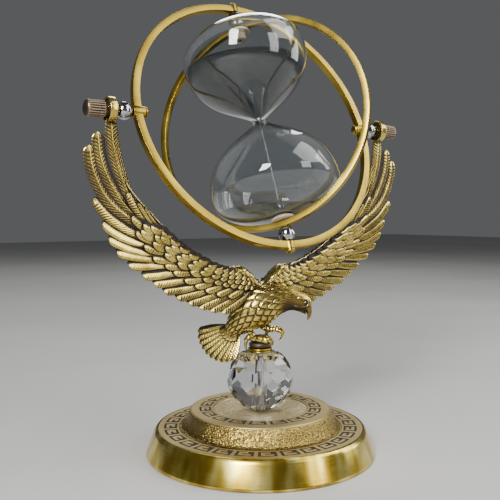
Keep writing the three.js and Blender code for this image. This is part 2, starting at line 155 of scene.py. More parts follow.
def lathe(skin, outline, sides, matrix=None, shade=0.0):
    """A closed solid of revolution about Z. The outline's [radius, z] points start and end on the
    axis, or close on themselves."""
    points = []
    rows = []
    for r, z in outline:
        if r < 1e-6:
            rows.append([len(points)] * sides)
            points.append((0, 0, z))
        else:
            rows.append(list(range(len(points), len(points) + sides)))
            points.extend((r * math.cos(turn), r * math.sin(turn), z) for turn in turns(sides))
    faces = []
    on_axis = outline[0][0] < 1e-6 and outline[-1][0] < 1e-6
    pairs = list(zip(rows, rows[1:]))
    if not on_axis:
        pairs.append((rows[-1], rows[0]))
    for low, high in pairs:
        for k in range(sides):
            j = (k + 1) % sides
            quad = [low[k], low[j], high[j], high[k]]
            face = [q for i, q in enumerate(quad) if q != quad[i - 1]]
            if len(face) > 2:
                faces.append(tuple(face))
    points = np.array(points, float)
    if matrix is not None:
        points = placed(points, matrix)
    skin.add(points, faces, shade)


def placed(points, matrix):
    """Points moved by a matrix."""
    m = np.array(matrix, float)
    return np.asarray(points) @ m[:3, :3].T + m[:3, 3]


def fillet(corners, radius, steps):
    """An outline whose corners are rounded. Each is [r, z] with its own radius, or the one given."""
    out = []
    count = len(corners)
    for i in range(count):
        p = np.array(corners[i][:2], float)
        before = np.array(corners[i - 1][:2], float)
        after = np.array(corners[(i + 1) % count][:2], float)
        size = corners[i][2] if len(corners[i]) > 2 else radius
        to_before = before - p
        to_after = after - p
        room = min(np.linalg.norm(to_before), np.linalg.norm(to_after)) * 0.45
        cut = min(size, room)
        if cut < 1e-6:
            out.append(p)
            continue
        a = p + to_before / np.linalg.norm(to_before) * cut
        b = p + to_after / np.linalg.norm(to_after) * cut
        for k in range(steps + 1):
            t = k / steps
            out.append((1 - t) ** 2 * a + 2 * t * (1 - t) * p + t * t * b)
    return [tuple(q) for q in out]


def sample(at, steps, rows):
    """Rows of numbers read between their steps."""
    return np.stack([np.interp(at, steps, rows[:, c]) for c in range(rows.shape[1])], -1)


def spline(stations, count):
    """Even steps along a smooth curve through rows of numbers, and its length. The first three numbers
    are a place."""
    rows = np.asarray(stations, float)
    padded = np.vstack([2 * rows[0] - rows[1], rows, 2 * rows[-1] - rows[-2]])
    fine = []
    for i in range(len(rows) - 1):
        p0, p1, p2, p3 = padded[i:i + 4]
        for t in np.linspace(0, 1, 24, endpoint=False):
            fine.append(0.5 * (2 * p1 + (p2 - p0) * t + (2 * p0 - 5 * p1 + 4 * p2 - p3) * t * t
                               + (3 * p1 - p0 - 3 * p2 + p3) * t ** 3))
    fine.append(rows[-1])
    fine = np.array(fine)
    step = np.linalg.norm(np.diff(fine[:, :3], axis=0), axis=1)
    length = np.concatenate([[0], np.cumsum(step)])
    return sample(np.linspace(0, length[-1], count), length, fine), length[-1]


def unit(v):
    """Vectors at length 1."""
    v = np.asarray(v, float)
    return v / np.maximum(np.linalg.norm(v, axis=-1, keepdims=True), 1e-9)


def smooth(x):
    """A soft step from 0 to 1."""
    x = np.clip(x, 0, 1)
    return x * x * (3 - 2 * x)


def tube(skin, stations, around, count, side=ASIDE, relief=None, shade=0.0):
    """A closed skin over elliptical sections, count of them along it. A station is [x, y, z, half height,
    half width], and side is the way of the width. relief gives a swelling and a darkness for every point."""
    rows, length = spline(stations, count)
    centre = rows[:, :3]
    along = unit(np.gradient(centre, axis=0))
    across = unit(side - along * (along @ side)[:, None])
    over = np.cross(along, across)
    turn = turns(around)
    swell = 0.0
    if relief is not None:
        distance = np.linspace(0, length, count)
        swell, shade = relief(distance[:, None] + 0 * turn[None], turn[None] + 0 * distance[:, None], rows)
    height = np.maximum(rows[:, 3:4], 0.05) + swell
    width = np.maximum(rows[:, 4:5], 0.05) + swell
    rings = (centre[:, None] + across[:, None] * (width * np.cos(turn))[..., None]
             + over[:, None] * (height * np.sin(turn))[..., None])
    chain(skin, rings, shade)


def in_bird(ahead, aside, up):
    """A place or a way in the eagle's own directions."""
    return AHEAD * ahead + ASIDE * aside + UP * up


def bird(stations):
    """Stations of [ahead, aside, up, half height, half width] as places."""
    return [[*in_bird(a, b, c), h, w] for a, b, c, h, w in stations]


def add_object(name, data):
    """An object in the scene."""
    thing = bpy.data.objects.new(name, data)
    bpy.context.scene.collection.objects.link(thing)
    return thing


def make(name, skin, body, slot, *nodes, look=None, sharp=60):
    """One piece from a skin. It rides on a body and stands for CAD nodes. Its look is named as its slot
    is, unless look names another."""
    mesh = bpy.data.meshes.new(name)
    points = np.concatenate(skin.points) * MM
    mesh.from_pydata(points.tolist(), [], skin.faces)
    # Each point's darkness: tarnish and painted shade.
    patina_and_shade = mesh.attributes.new("patina_and_shade", "FLOAT", "POINT")
    patina_and_shade.data.foreach_set("value", np.concatenate(skin.shade).astype(np.float32))
    work = bmesh.new()
    work.from_mesh(mesh)
    bmesh.ops.recalc_face_normals(work, faces=work.faces)
    work.to_mesh(mesh)
    work.free()
    mesh.shade_smooth()
    mesh.set_sharp_from_angle(angle=math.radians(sharp))
    mesh.materials.append(LOOK[look or slot])
    piece = add_object(name, mesh)
    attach(piece, body)
    if nodes:
        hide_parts(*nodes)


def turned(name, outline, sides, body, slot, *nodes, matrix=None, shade=0.0, look=None, sharp=50):
    """One piece that is a single solid of revolution."""
    skin = Skin()
    lathe(skin, outline, sides, matrix, shade)
    make(name, skin, body, slot, *nodes, look=look, sharp=sharp)


# ---------------------------------------------------------------- materials
class Nodes:
    """Builds a node tree by short calls."""

    def __init__(self, name):
        self.material = bpy.data.materials.new(name)
        self.material.use_nodes = True
        self.tree = self.material.node_tree
        self.shader = self.tree.nodes["Principled BSDF"]

    def add(self, kind, **inputs):
        node = self.tree.nodes.new(kind)
        for key, value in inputs.items():
            self.put(node, key, value)
        return node

    def put(self, node, key, value):
        socket = node.inputs[int(key[1:])] if key[0] == "i" and key[1:].isdigit() else node.inputs[key]
        if isinstance(value, bpy.types.NodeSocket):
            self.tree.links.new(value, socket)
        else:
            socket.default_value = value

    def math(self, what, a, b=0.5, clamp=False):
        node = self.tree.nodes.new("ShaderNodeMath")
        node.operation = what
        node.use_clamp = clamp
        self.put(node, "i0", a)
        self.put(node, "i1", b)
        return node.outputs[0]

    def place(self, scale=(1, 1, 1)):
        where = self.tree.nodes.new("ShaderNodeTexCoord").outputs["Object"]
        stretch = self.tree.nodes.new("ShaderNodeMapping")
        stretch.inputs["Scale"].default_value = scale
        self.tree.links.new(where, stretch.inputs["Vector"])
        return stretch.outputs[0]

    def noise(self, scale, detail, stretch=(1, 1, 1)):
        node = self.add("ShaderNodeTexNoise", Vector=self.place(stretch), Scale=scale, Detail=detail,
                        Roughness=0.55)
        return node.outputs["Fac"]

    def cells(self, scale, feature="F1"):
        node = self.tree.nodes.new("ShaderNodeTexVoronoi")
        node.feature = feature
        self.put(node, "Vector", self.place())
        self.put(node, "Scale", scale)
        return node.outputs["Distance"]

    def hollow(self, distance):
        """1 in hollows and 0 on open faces."""
        node = self.tree.nodes.new("ShaderNodeAmbientOcclusion")
        node.samples = 6
        node.inputs["Distance"].default_value = distance
        return self.math("SUBTRACT", 1.0, node.outputs["AO"])

    def attribute(self, name):
        node = self.tree.nodes.new("ShaderNodeAttribute")
        node.attribute_name = name
        return node.outputs["Fac"]

    def ramp(self, value, *stops):
        node = self.tree.nodes.new("ShaderNodeValToRGB")
        self.tree.links.new(value, node.inputs[0])
        band = node.color_ramp
        while len(band.elements) < len(stops):
            band.elements.new(0.5)
        for element, (where, colour) in zip(band.elements, stops):
            element.position = where
            element.color = (*colour, 1) if isinstance(colour, tuple) else (colour, colour, colour, 1)
        return node.outputs[0]

    def mix(self, share, a, b):
        node = self.tree.nodes.new("ShaderNodeMix")
        node.data_type = "RGBA"
        self.put(node, "i0", share)
        for key, value in (("i6", a), ("i7", b)):
            self.put(node, key, (*value, 1) if isinstance(value, tuple) else value)
        return node.outputs[2]

    def blend(self, value, low, high, a, b):
        """Colour a where the value is below low, colour b where it is above high."""
        return self.mix(self.ramp(value, (low, 0.0), (high, 1.0)), a, b)

    def stir(self, value, noise, amount, clamp=False):
        """The value made uneven by a noise about its middle."""
        swing = self.math("MULTIPLY", self.math("SUBTRACT", noise, 0.5), amount)
        return self.math("ADD", value, swing, clamp=clamp)

    def bump(self, height, strength, distance):
        node = self.add("ShaderNodeBump", Height=height, Strength=strength, Distance=distance)
        return node.outputs[0]

    def done(self, **inputs):
        for key, value in inputs.items():
            value = (*value, 1) if isinstance(value, tuple) else value
            self.put(self.shader, key.replace("_", " "), value)
        return self.material


def brushed_brass():
    """Satin brass of the rings: fine drawn lines, a little tarnish, and near-black painted shade where points
    are marked dark, at its small holes.
    """
    n = Nodes("satin_brass")
    lines = n.noise(900, 2)
    tarnish = n.noise(28, 5)
    colour = n.blend(tarnish, 0.32, 0.68, (0.25, 0.165, 0.020), (0.42, 0.31, 0.050))
    # Points marked dark turn near black: painted shade for the inner ring's empty holes.
    colour = n.mix(n.attribute("patina_and_shade"), colour, (0.012, 0.009, 0.006))
    rough = n.ramp(n.noise(60, 6), (0.3, 0.24), (0.75, 0.38))
    return n.done(Base_Color=colour, Metallic=1.0, Roughness=rough, Normal=n.bump(lines, 0.05, 0.00008))


def polished_brass():
    """The conical side of the base: yellow gold, brushed round its axis, with soft upright streaks of painted
    reflection in its colour.
    """
    n = Nodes("polished_brass")
    lines = n.noise(60, 3, (0.5, 0.5, 60))
    reflection_streak = n.noise(95, 1, (1, 1, 0.06))
    # Painted reflection: the colour runs from dark to pale gold along upright streaks that stand in for
    # reflected bands of light.
    colour = n.ramp(reflection_streak, (0.36, (0.42, 0.28, 0.03)), (0.50, (0.62, 0.46, 0.07)),
                    (0.62, (0.85, 0.70, 0.20)))
    rough = n.ramp(lines, (0.3, 0.18), (0.7, 0.27))
    return n.done(Base_Color=colour, Metallic=1.0, Roughness=rough, Normal=n.bump(lines, 0.06, 0.0001))


def antique_brass():
    """Cast brass, bright on open faces and dark brown in hollows and wherever its darkness mark is set. The
    darkening is partly the brass's tarnish and partly painted shade.
    """
    n = Nodes("antique_brass")
    # Darkness from each point's mark and from ambient occlusion in hollows: partly tarnish, partly painted
    # shade.
    patina_and_shade = n.math("MAXIMUM", n.attribute("patina_and_shade"), n.math("MULTIPLY", n.hollow(0.0025), 1.5))
    cloud = n.noise(55, 5)
    fine = n.noise(700, 3)
    # This value takes the colour from bright brass to near black: painted shade, with some tarnish and random
    # cloud.
    shade_and_tarnish = n.stir(patina_and_shade, cloud, 0.5, clamp=True)
    colour = n.ramp(shade_and_tarnish, (0.0, (0.78, 0.62, 0.17)), (0.11, (0.43, 0.315, 0.065)),
                    (0.26, (0.12, 0.082, 0.027)), (0.46, (0.018, 0.011, 0.009)))
    metal = n.ramp(shade_and_tarnish, (0.25, 1.0), (0.6, 0.3))
    rough = n.ramp(n.stir(shade_and_tarnish, fine, 0.5), (0.05, 0.21), (0.6, 0.65))
    return n.done(Base_Color=colour, Metallic=metal, Roughness=rough, Normal=n.bump(fine, 0.3, 0.0001))


def tan_brass():
    """The flat lands of the base: matt greyish light brown, dark in the cut pattern."""
    n = Nodes("tan_brass")
    patina_and_shade = n.attribute("patina_and_shade")
    cloud = n.noise(40, 5)
    fine = n.noise(900, 3)
    dark = n.ramp(n.stir(patina_and_shade, cloud, 0.2), (0.25, 0.0), (0.6, 1.0))
    bright = n.blend(cloud, 0.35, 0.7, (0.40, 0.31, 0.125), (0.53, 0.42, 0.19))
    colour = n.mix(dark, bright, (0.012, 0.008, 0.005))
    metal = n.ramp(dark, (0.0, 0.9), (1.0, 0.1))
    rough = n.ramp(n.stir(dark, fine, 0.6), (0.0, 0.42), (1.0, 0.85))
    return n.done(Base_Color=colour, Metallic=metal, Roughness=rough, Normal=n.bump(fine, 0.2, 0.0001))


def stippled_brass(name, dark_gold, pale_gold, metal):
    """Punched brass: close irregular pits, dark at the bottom."""
    n = Nodes(name)
    pits = n.cells(1050, "SMOOTH_F1")
    uneven = n.noise(800, 4)
    height = n.math("ADD", pits, n.math("MULTIPLY", uneven, 0.9))
    dark = n.ramp(height, (0.60, 1.0), (0.88, 0.0))
    cloud = n.noise(30, 4)
    bright = n.blend(cloud, 0.35, 0.7, dark_gold, pale_gold)
    colour = n.mix(dark, bright, (0.09, 0.055, 0.018))
    rough = n.ramp(dark, (0.0, 0.22), (1.0, 0.5))
    return n.done(Base_Color=colour, Metallic=metal, Roughness=rough, Normal=n.bump(height, 1.0, 0.0006))


def dark_bronze():
    """Knobs and perch: dark brown bronze, rubbed lighter on the ribs."""
    n = Nodes("dark_bronze")
    patina_and_shade = n.attribute("patina_and_shade")
    cloud = n.noise(120, 5)
    colour = n.blend(n.stir(patina_and_shade, cloud, 0.5), 0.2, 0.8, (0.30, 0.23, 0.15), (0.05, 0.036, 0.028))
    rough = n.ramp(cloud, (0.3, 0.32), (0.7, 0.55))
    return n.done(Base_Color=colour, Metallic=0.9, Roughness=rough, Normal=n.bump(cloud, 0.2, 0.0002))


def one_noise(name, noise, colours, rough, bump, metal, spot=None):
    """A look with one noise for its colour, its roughness and its bumps. spot is the colour of points
    marked dark, as painted shade."""
    n = Nodes(name)
    marks = n.noise(*noise)
    colour = n.blend(marks, *colours)
    if spot:
        colour = n.mix(n.attribute("patina_and_shade"), colour, spot)
    return n.done(Base_Color=colour, Metallic=metal, Roughness=n.ramp(marks, *rough),
                  Normal=n.bump(marks, *bump))


def chrome():
    """Bright plating with cloudy darker patches and small marks."""
    return one_noise("chrome", (260, 6), (0.42, 0.6, (0.20, 0.20, 0.23), (0.62, 0.62, 0.66)),
                     ((0.35, 0.06), (0.75, 0.16)), (0.25, 0.0004), 1.0)


def steel():
    """Dull steel of the rod, the washer, the nut and the pins."""
    return one_noise("steel", (200, 5), (0.35, 0.7, (0.30, 0.29, 0.28), (0.46, 0.45, 0.44)),
                     ((0.3, 0.28), (0.7, 0.5)), (0.1, 0.0002), 1.0)


def clear_glass():
    """Blown glass with a faint bloom of dust that scatters a little light."""
    n = Nodes("clear_glass")
    dust = n.noise(70, 5)
    ripple = n.noise(9, 2)
    rough = n.ramp(dust, (0.4, 0.0), (0.8, 0.035))
    return n.done(Base_Color=(0.93, 0.96, 0.97), Roughness=rough, IOR=1.46, Transmission_Weight=1.0,
                  Normal=n.bump(ripple, 0.04, 0.002))


def crystal():
    """Clear cut crystal with a trace of dust."""
    n = Nodes("crystal")
    dust = n.noise(90, 4)
    rough = n.ramp(dust, (0.45, 0.0), (0.85, 0.02))
    return n.done(Base_Color=(0.97, 0.98, 0.99), Roughness=rough, IOR=1.54, Transmission_Weight=1.0,
                  Normal=n.bump(dust, 0.01, 0.0002))


def sand(name, dark, pale):
    """Fine grey sand with lighter and darker grains."""
    n = Nodes(name)
    grains = n.cells(2600)
    cloud = n.noise(60, 4)
    speck = n.noise(2400, 2)
    colour = n.blend(speck, 0.42, 0.62, dark, pale)
    colour = n.mix(n.ramp(cloud, (0.4, 0.0), (0.75, 0.4)), colour, pale)
    return n.done(Base_Color=colour, Roughness=n.ramp(grains, (0.0, 0.75), (1.0, 1.0)),
                  Normal=n.bump(grains, 0.7, 0.0004))


def lit_sand():
    """The same grains one by one in the light, where they look pale."""
    n = Nodes("lit_sand")
    grains = n.noise(2400, 2)
    colour = n.blend(grains, 0.4, 0.6, (0.42, 0.41, 0.38), (0.72, 0.70, 0.66))
    return n.done(Base_Color=colour, Roughness=0.6)


def plug_pad():
    """Tan fibre board, with painted shade as a dark spot inside its pin hole."""
    return one_noise("plug_pad", (500, 5), (0.3, 0.7, (0.50, 0.40, 0.26), (0.66, 0.56, 0.40)),
                     ((0.3, 0.6), (0.7, 0.85)), (0.4, 0.0002), 0.0, (0.05, 0.04, 0.03))


def felt():
    """Black felt with a loose nap."""
    return one_noise("felt", (1200, 6), (0.3, 0.75, (0.008, 0.008, 0.009), (0.035, 0.034, 0.034)),
                     ((0.3, 0.9), (0.7, 1.0)), (0.8, 0.0004), 0.0)


LOOK = {
    "brushed_brass": brushed_brass(),
    "polished_brass": polished_brass(),
    "antique_brass": antique_brass(),
    "tan_brass": tan_brass(),
    "stippled_brass": stippled_brass("stippled_brass", (0.31, 0.22, 0.055), (0.45, 0.34, 0.10), 1.0),
    # dish is a paler, less metallic copy of stippled_brass, brightened as painted light because the dish sits
    # in shade.
    "dish": stippled_brass("dish", (0.44, 0.35, 0.17), (0.56, 0.46, 0.25), 0.35),
    "dark_bronze": dark_bronze(),
    "chrome": chrome(),
    "steel": steel(),
    "clear_glass": clear_glass(),
    "crystal": crystal(),
    # One grey sand in two copies: sand is painted darker, and the heap copy painted lighter to lift it out of
    # the ring's shadow.
    "sand": sand("sand", (0.008, 0.010, 0.011), (0.050, 0.054, 0.055)),
    "lit_sand_heap": sand("lit_sand_heap", (0.09, 0.11, 0.115), (0.26, 0.29, 0.295)),
    "lit_sand": lit_sand(),
    "plug": plug_pad(),
    "felt": felt(),
}


# ---------------------------------------------------------------- the base
def base_rim():
    """The polished cone with its rounded edges, and the wall inside it."""
    corners = [(77.6, 0.6), (BASE_R, 0.6, 0.3), (BASE_R, 2, 0.6), (74.5, 16.5, 1.3), (72.9, TIER_Z, 0.9),
               (71.4, TIER_Z, 0.2), (71.2, 14), (74.6, 2.4), (77.6, 2.4)]
    turned("base_rim", fillet(corners, 0.05, 4), 256, "stand", "polished_brass", "base_shell")


# One unit of the key pattern, from its outer edge inwards. A hash is a cut stroke
KEY = (
    "#.#####",
    "#.#....",
    "#.#.###",
    "#.#...#",
    "#.#####",
)
KEY_CUT = 0.85
KEY_LAND = 1.15


def key_steps(cells):
    """Where each row or column of the pattern starts, as shares of the whole, and where the last ends."""
    sizes = [KEY_CUT if cell == "#" else KEY_LAND for cell in cells]
    return np.concatenate([[0], np.cumsum(sizes)]) / sum(sizes)


def key_band(skin, inner, outer, high, floor, units):
    """A flat ring with the key pattern cut into it. Each cell of the pattern has two samples each way,
    so that its walls are steep but not upright."""
    near, far = 0.06, 0.94
    margin = 1.2
    seam = 0.02
    across = key_steps(KEY[2])
    inwards = key_steps([row[4] for row in KEY])
    radii = [inner - margin, inner - seam]
    picks = [None, None]
    for i in reversed(range(len(KEY))):
        for share in (far, near):
            radii.append(outer - (outer - inner) * (inwards[i] * (1 - share) + inwards[i + 1] * share))
            picks.append(i)
    radii += [outer + seam, outer + margin]
    picks += [None, None]
    around = radii + [radii[-1], radii[0]]
    rings = []
    shades = []
    for u in range(units):
        for c in range(len(across) - 1):
            cut = [KEY[p][c] == "#" if p is not None else False for p in picks]
            heights = [high - KEY_DEPTH * down for down in cut] + [floor, floor]
            for share in (near, far):
                turn = 2 * math.pi * (u + across[c] * (1 - share) + across[c + 1] * share) / units
                rings.append([(r * math.cos(turn), r * math.sin(turn), z) for r, z in zip(around, heights)])
                shades.append([1.0 * down for down in cut] + [0, 0])
    chain(skin, rings, shades, closed=True)


def base_step():
    """The lower tier's flat top: two plain lands with the key pattern between them."""
    skin = Skin()
    for inner, outer in ((68.9, 72.0), (54.6, 57.4)):
        corners = [(inner, TIER_Z), (inner, TIER_FLOOR), (outer, TIER_FLOOR), (outer, TIER_Z)]
        lathe(skin, fillet(corners, 0.02, 1), 192)
    key_band(skin, 58.6, 67.8, TIER_Z, TIER_FLOOR, 28)
    make("base_step", skin, "stand", "polished_brass", look="tan_brass", sharp=25)


def base_crown():
    """The upper tier's flat top: a rounded edge, the key pattern and a thin lip round the dish."""
    skin = Skin()
    edge = [(44.1, CROWN_Z), (44.1, CROWN_FLOOR), (49.4, CROWN_FLOOR), (49.9, 29.9, 0.7),
            (48.8, CROWN_Z, 0.7)]
    lathe(skin, fillet(edge, 0.02, 4), 192)
    key_band(skin, 34.8, 43, CROWN_Z, CROWN_FLOOR, 18)
    lip = [(32.9, CROWN_Z - 0.5, 0.3), (33.5, CROWN_Z, 0.3), (33.6, CROWN_FLOOR), (32.6, CROWN_FLOOR)]
    lathe(skin, fillet(lip, 0.02, 3), 192)
    make("base_crown", skin, "stand", "polished_brass", look="tan_brass", sharp=25)


def base_tier():
    """The punched side of the upper tier sweeps out on to the lower tier."""
    foot = [(57.6, TIER_Z - 0.3), (57.6, TIER_Z + 0.02), (56.4, TIER_Z + 0.12), (55.2, TIER_Z + 0.5)]
    side = [(54.2, 19.5), (53.4, 20.9), (52.3, 23.6), (51.4, 26.2), (50.6, 28.4), (50.2, 29.4), (49.7, 29.9),
            (48.6, 30.0)]
    inside = [(47, 28), (50, 16.4)]
    turned("base_tier", foot + side + inside, 192, "stand", "polished_brass", look="stippled_brass")


def base_dish():
    """The shallow dish that the crystal ball stands in."""
    outline = [(2.8, DISH_FLOOR), (34, DISH_FLOOR), (33.4, CROWN_Z - 1.4), (33.2, CROWN_Z - 0.55), (31, 29.9),
               (26, 29.2), (20, 28.65), (13, DISH_Z + 0.05), (2.8, DISH_Z)]
    turned("base_dish", outline, 160, "stand", "polished_brass", look="dish")


# ---------------------------------------------------------------- rod, ball, collar, perch
def threaded_rod():
    """A steel rod with a thread, seen through the crystal."""
    pitch = 0.8
    deep = 0.32
    outline = [(0, ROD_LOW)]
    z = ROD_LOW + 0.2
    while z < PERCH_HIGH - 1.6:
        outline.append((ROD_R - deep, z))
        outline.append((ROD_R, z + pitch / 2))
        z += pitch
    outline.append((0, PERCH_HIGH - 1.2))
    turned("threaded_rod", outline, 24, "stand", "steel", "tie_rod", sharp=20)


def hull(points):
    """The convex hull of points, as a mesh to work on."""
    work = bmesh.new()
    for point in points:
        work.verts.new(point)
    bmesh.ops.convex_hull(work, input=work.verts)
    return work


def cut_stone(planes):
    """The convex stone that is left inside planes, each a normal and a distance. Every face of the hull
    of the planes' dual points is one corner of the stone."""
    dual = hull(Vector(normal).normalized() / distance for normal, distance in planes)
    corners = set()
    for face in dual.faces:
        face.normal_update()
        away = face.normal.dot(face.verts[0].co)
        if abs(away) > 1e-9:
            corners.add(tuple(round(x, 4) for x in face.normal / away))
    dual.free()
    stone = hull(sorted(corners))
    loose = [v for v in stone.verts if not v.link_faces]
    bmesh.ops.delete(stone, geom=loose, context="VERTS")
    bmesh.ops.dissolve_limit(stone, angle_limit=math.radians(0.8), verts=stone.verts, edges=stone.edges)
    stone.verts.ensure_lookup_table()
    stone.verts.index_update()
    points = [tuple(v.co) for v in stone.verts]
    faces = [tuple(v.index for v in f.verts) for f in stone.faces]
    stone.free()
    return points, faces


def crystal_ball():
    """Rows of flat facets, each row turned half a step from the next."""
    sides = 12
    planes = []
    for row, latitude in enumerate((-72, -51, -30, -9, 12, 33, 54)):
        tip = math.radians(latitude)
        for k in range(sides):
            turn = 2 * math.pi * (k + 0.5 * (row % 2)) / sides
            normal = (math.cos(tip) * math.cos(turn), math.cos(tip) * math.sin(turn), math.sin(tip))
            planes.append((normal, BALL_R * 0.975))
    planes.append(((0, 0, 1), BALL_R - 4.6))
    planes.append(((0, 0, -1), BALL_R - 0.1))
    points, faces = cut_stone(planes)
    skin = Skin()
    skin.add(np.array(points) + np.array([0, 0, BALL_Z]), faces)
    make("crystal_stone", skin, "stand", "crystal", "crystal_ball", sharp=1)


def collar():
    """Two round beads, one on the other."""
    hole = ROD_R + 0.4
    bead = 0.8
    waist = 7.5
    middle = (COLLAR_LOW + COLLAR_HIGH) / 2
    outline = [(hole, COLLAR_LOW)]
    for centre in (COLLAR_LOW + bead, COLLAR_HIGH - bead):
        for turn in range(-80, 81, 20):
            angle = math.radians(turn)
            outline.append((waist + math.cos(angle), centre + bead * math.sin(angle)))
        if centre < middle:
            outline.append((waist, middle))
    outline.append((hole, COLLAR_HIGH))
    turned("collar_beads", outline, 96, "stand", "brushed_brass", "collar", sharp=60)


def perch():
    """The dark turned boss under the claws."""
    low = COLLAR_HIGH + 0.3
    corners = [(0, low), (7.2, low, 0.4), (PERCH_R, COLLAR_HIGH + 1.2, 0.5), (PERCH_R, PERCH_HIGH - 0.8, 0.5),
               (6.8, PERCH_HIGH, 0.4), (0, PERCH_HIGH)]
    turned("perch_block", fillet(corners, 0, 4), 96, "stand", "dark_bronze", "perch", shade=0.7)


# ---------------------------------------------------------------- feathers
# Places along a feather's spine, stations to one barb, and places across from edge to edge
SPINE_STEPS = 60
BARB_STEPS = 4
TIP_STEPS = 8
ACROSS = np.array([-1, -0.92, -0.7, -0.42, -0.16, -0.06, 0, 0.06, 0.16, 0.42, 0.7, 0.92, 1])


def feather(skin, spine, width, normal, rng, thick=1.2, crown=0.8, lift=0.0, toward=None, pitch=1.7, cut=0.3,
            root=0.55, rachis=0.35, point=0.6, rise=0.0, under=0.0, under_from=0.0, slope=1.3, hidden=0.22):
    """A closed blade along a spine of places, root first. Its barbs slant from the rachis towards the
    tip, so the stations are chevrons and every groove lies along one of them. lift tips the blade, with
    the edge that faces toward raised. under paints shade on the other edge, the one tucked under its
    neighbour, from under_from out, and hidden paints shade on the root."""
    spine = np.asarray(spine, float)
    if len(spine) < 3:
        spine = np.vstack([spine[0], (spine[0] + spine[-1]) / 2, spine[-1]])
    curve, length = spline(spine, SPINE_STEPS)
    tip_part = min(point * width / length, 0.7)
    plain = min(0.4 * width / length, tip_part)
    body_steps = max(2, round(length * (1 - plain) / pitch)) * BARB_STEPS
    turn = np.linspace(0, math.pi / 2, TIP_STEPS + 1)[1:]
    t = np.concatenate([np.linspace(0, 1 - plain, body_steps + 1), 1 - plain + plain * np.sin(turn)])
    q = np.clip((t - (1 - tip_part)) / tip_part, 0, 1)
    half = width / 2 * (root + (1 - root) * np.sin(np.clip(t / 0.62, 0, 1) * math.pi / 2))
    half = half * np.sqrt(np.clip(1 - q ** 2, 0.0004, 1))
    v = ACROSS[None]

    # Where the blade lies: the stations lean back along the barbs, less and less towards the tip
    reach = np.clip((1 - t) * length / (3.2 * width), 0, 1)
    at = np.clip(t[:, None] + slope * reach[:, None] * np.abs(v) * half[:, None] / length, 0, 1)
    even = np.linspace(0, 1, SPINE_STEPS)
    along = unit(np.gradient(curve, axis=0))
    place = sample(at, even, curve)
    along = unit(sample(at, even, along))
    normal = unit(normal)
    across = unit(np.cross(along, normal))
    facing = 1.0
    if toward is not None and np.dot(across[len(t) // 2, len(ACROSS) // 2], toward) <= 0:
        facing = -1.0

    # How thick it is: grooves between the barbs, a raised rachis, and a crown that thins to the edge
    groove = np.choose(np.arange(len(t)) % BARB_STEPS, [0.0, 0.35, 1.0, 0.35])
    groove[body_steps:] = 0
    strength = 0.65 + 0.35 * rng.random(len(t) // BARB_STEPS + 2)
    groove = (groove * strength[np.arange(len(t)) // BARB_STEPS])[:, None] * np.clip(np.abs(v) / 0.3, 0, 1)
    edge = np.sqrt(np.clip(1 - np.abs(v) ** 3.2, 0.0, 1))
    ridge = rachis * np.exp(-(v / 0.09) ** 2) * (1 - 0.75 * t)[:, None]
    round_up = crown * (1 - v ** 2) * np.clip(half / (width / 2), 0.1, 1)[:, None]
    front = (thick / 2 + round_up - groove * cut) * edge + ridge
    back = -(thick / 2 + 0.5 * round_up - 0.6 * groove * cut) * edge - 0.6 * ridge
    base = rise * (t ** 1.5)[:, None] + lift * facing * v
    flat = place + across * (v * half[:, None])[..., None]
    top = flat + normal * (front + base)[..., None]
    low = flat + normal * (back + base)[..., None]

    # How dark it is: in the grooves, and painted shade at the edges, at the root and on the side tucked under
    shade = np.clip(groove * min(cut * 2.6, 1.0), 0, 1)
    shade = np.maximum(shade, 0.6 * smooth((np.abs(v) - 0.9) / 0.1))
    shade = np.maximum(shade, 0.85 * smooth(1 - t / hidden)[:, None])
    shade = np.maximum(shade, under * smooth((-facing * v - under_from) / 0.45))
    chain(skin, np.concatenate([top, low[:, -2:0:-1]], 1), np.concatenate([shade, shade[:, -2:0:-1]], 1))


def scale_relief(rows, columns):
    """Height and painted shade of overlapping pointed scales: dark between them and just outside each edge,
    as if shaded by it. Rows count towards the tips.
    """
    height = np.zeros_like(rows)
    shade = np.full_like(rows, 0.8)
    for back_row in (2, 1, 0):
        tip = np.floor(rows) + 1 + back_row
        back = tip - rows
        across = (columns - (tip % 2) * 0.5 + 0.5) % 1 - 0.5
        half = 0.5 * np.clip(back / 0.95, 0, 1) ** 0.72
        inside = half - np.abs(across)
        firm = smooth(inside / 0.12)
        barbs = 0.05 * np.cos(across * 2 * math.pi * 7) * (back < 1.2)
        level = 1 - 0.42 * back - 1.1 * across ** 2 + barbs
        height = np.where(inside > 0, height * (1 - firm) + level * firm, height)
        # Painted shadow just outside each scale's edge, as if cast on the scale under it.
        outside = np.exp(np.minimum(inside, 0) / 0.1)
        shade = np.where(inside > 0, shade * (1 - firm), np.maximum(shade, outside))
    return np.clip(height, 0, 1.2), shade


# ---------------------------------------------------------------- the wings
def on_wing(side, r, degrees, y=0.0):
    """A place at a radius from the gimbal's centre and an angle from straight down."""
    angle = np.radians(degrees)
    return np.stack([side * r * np.sin(angle), y + 0 * angle, GIMBAL_Z - r * np.cos(angle)], -1)


def bump(x, middle, width):
    """A smooth hump of height 1."""
    return np.exp(-((x - middle) / width) ** 2)


def leading_edge(degrees):
    """Radius of the wing's upper edge."""
    return EDGE_R + 5.5 * bump(degrees, 67, 11) + 8.8 * bump(degrees, 0, 4.2) - 2.4 * bump(degrees, 9.5, 3.5)


EDGE_R = 103

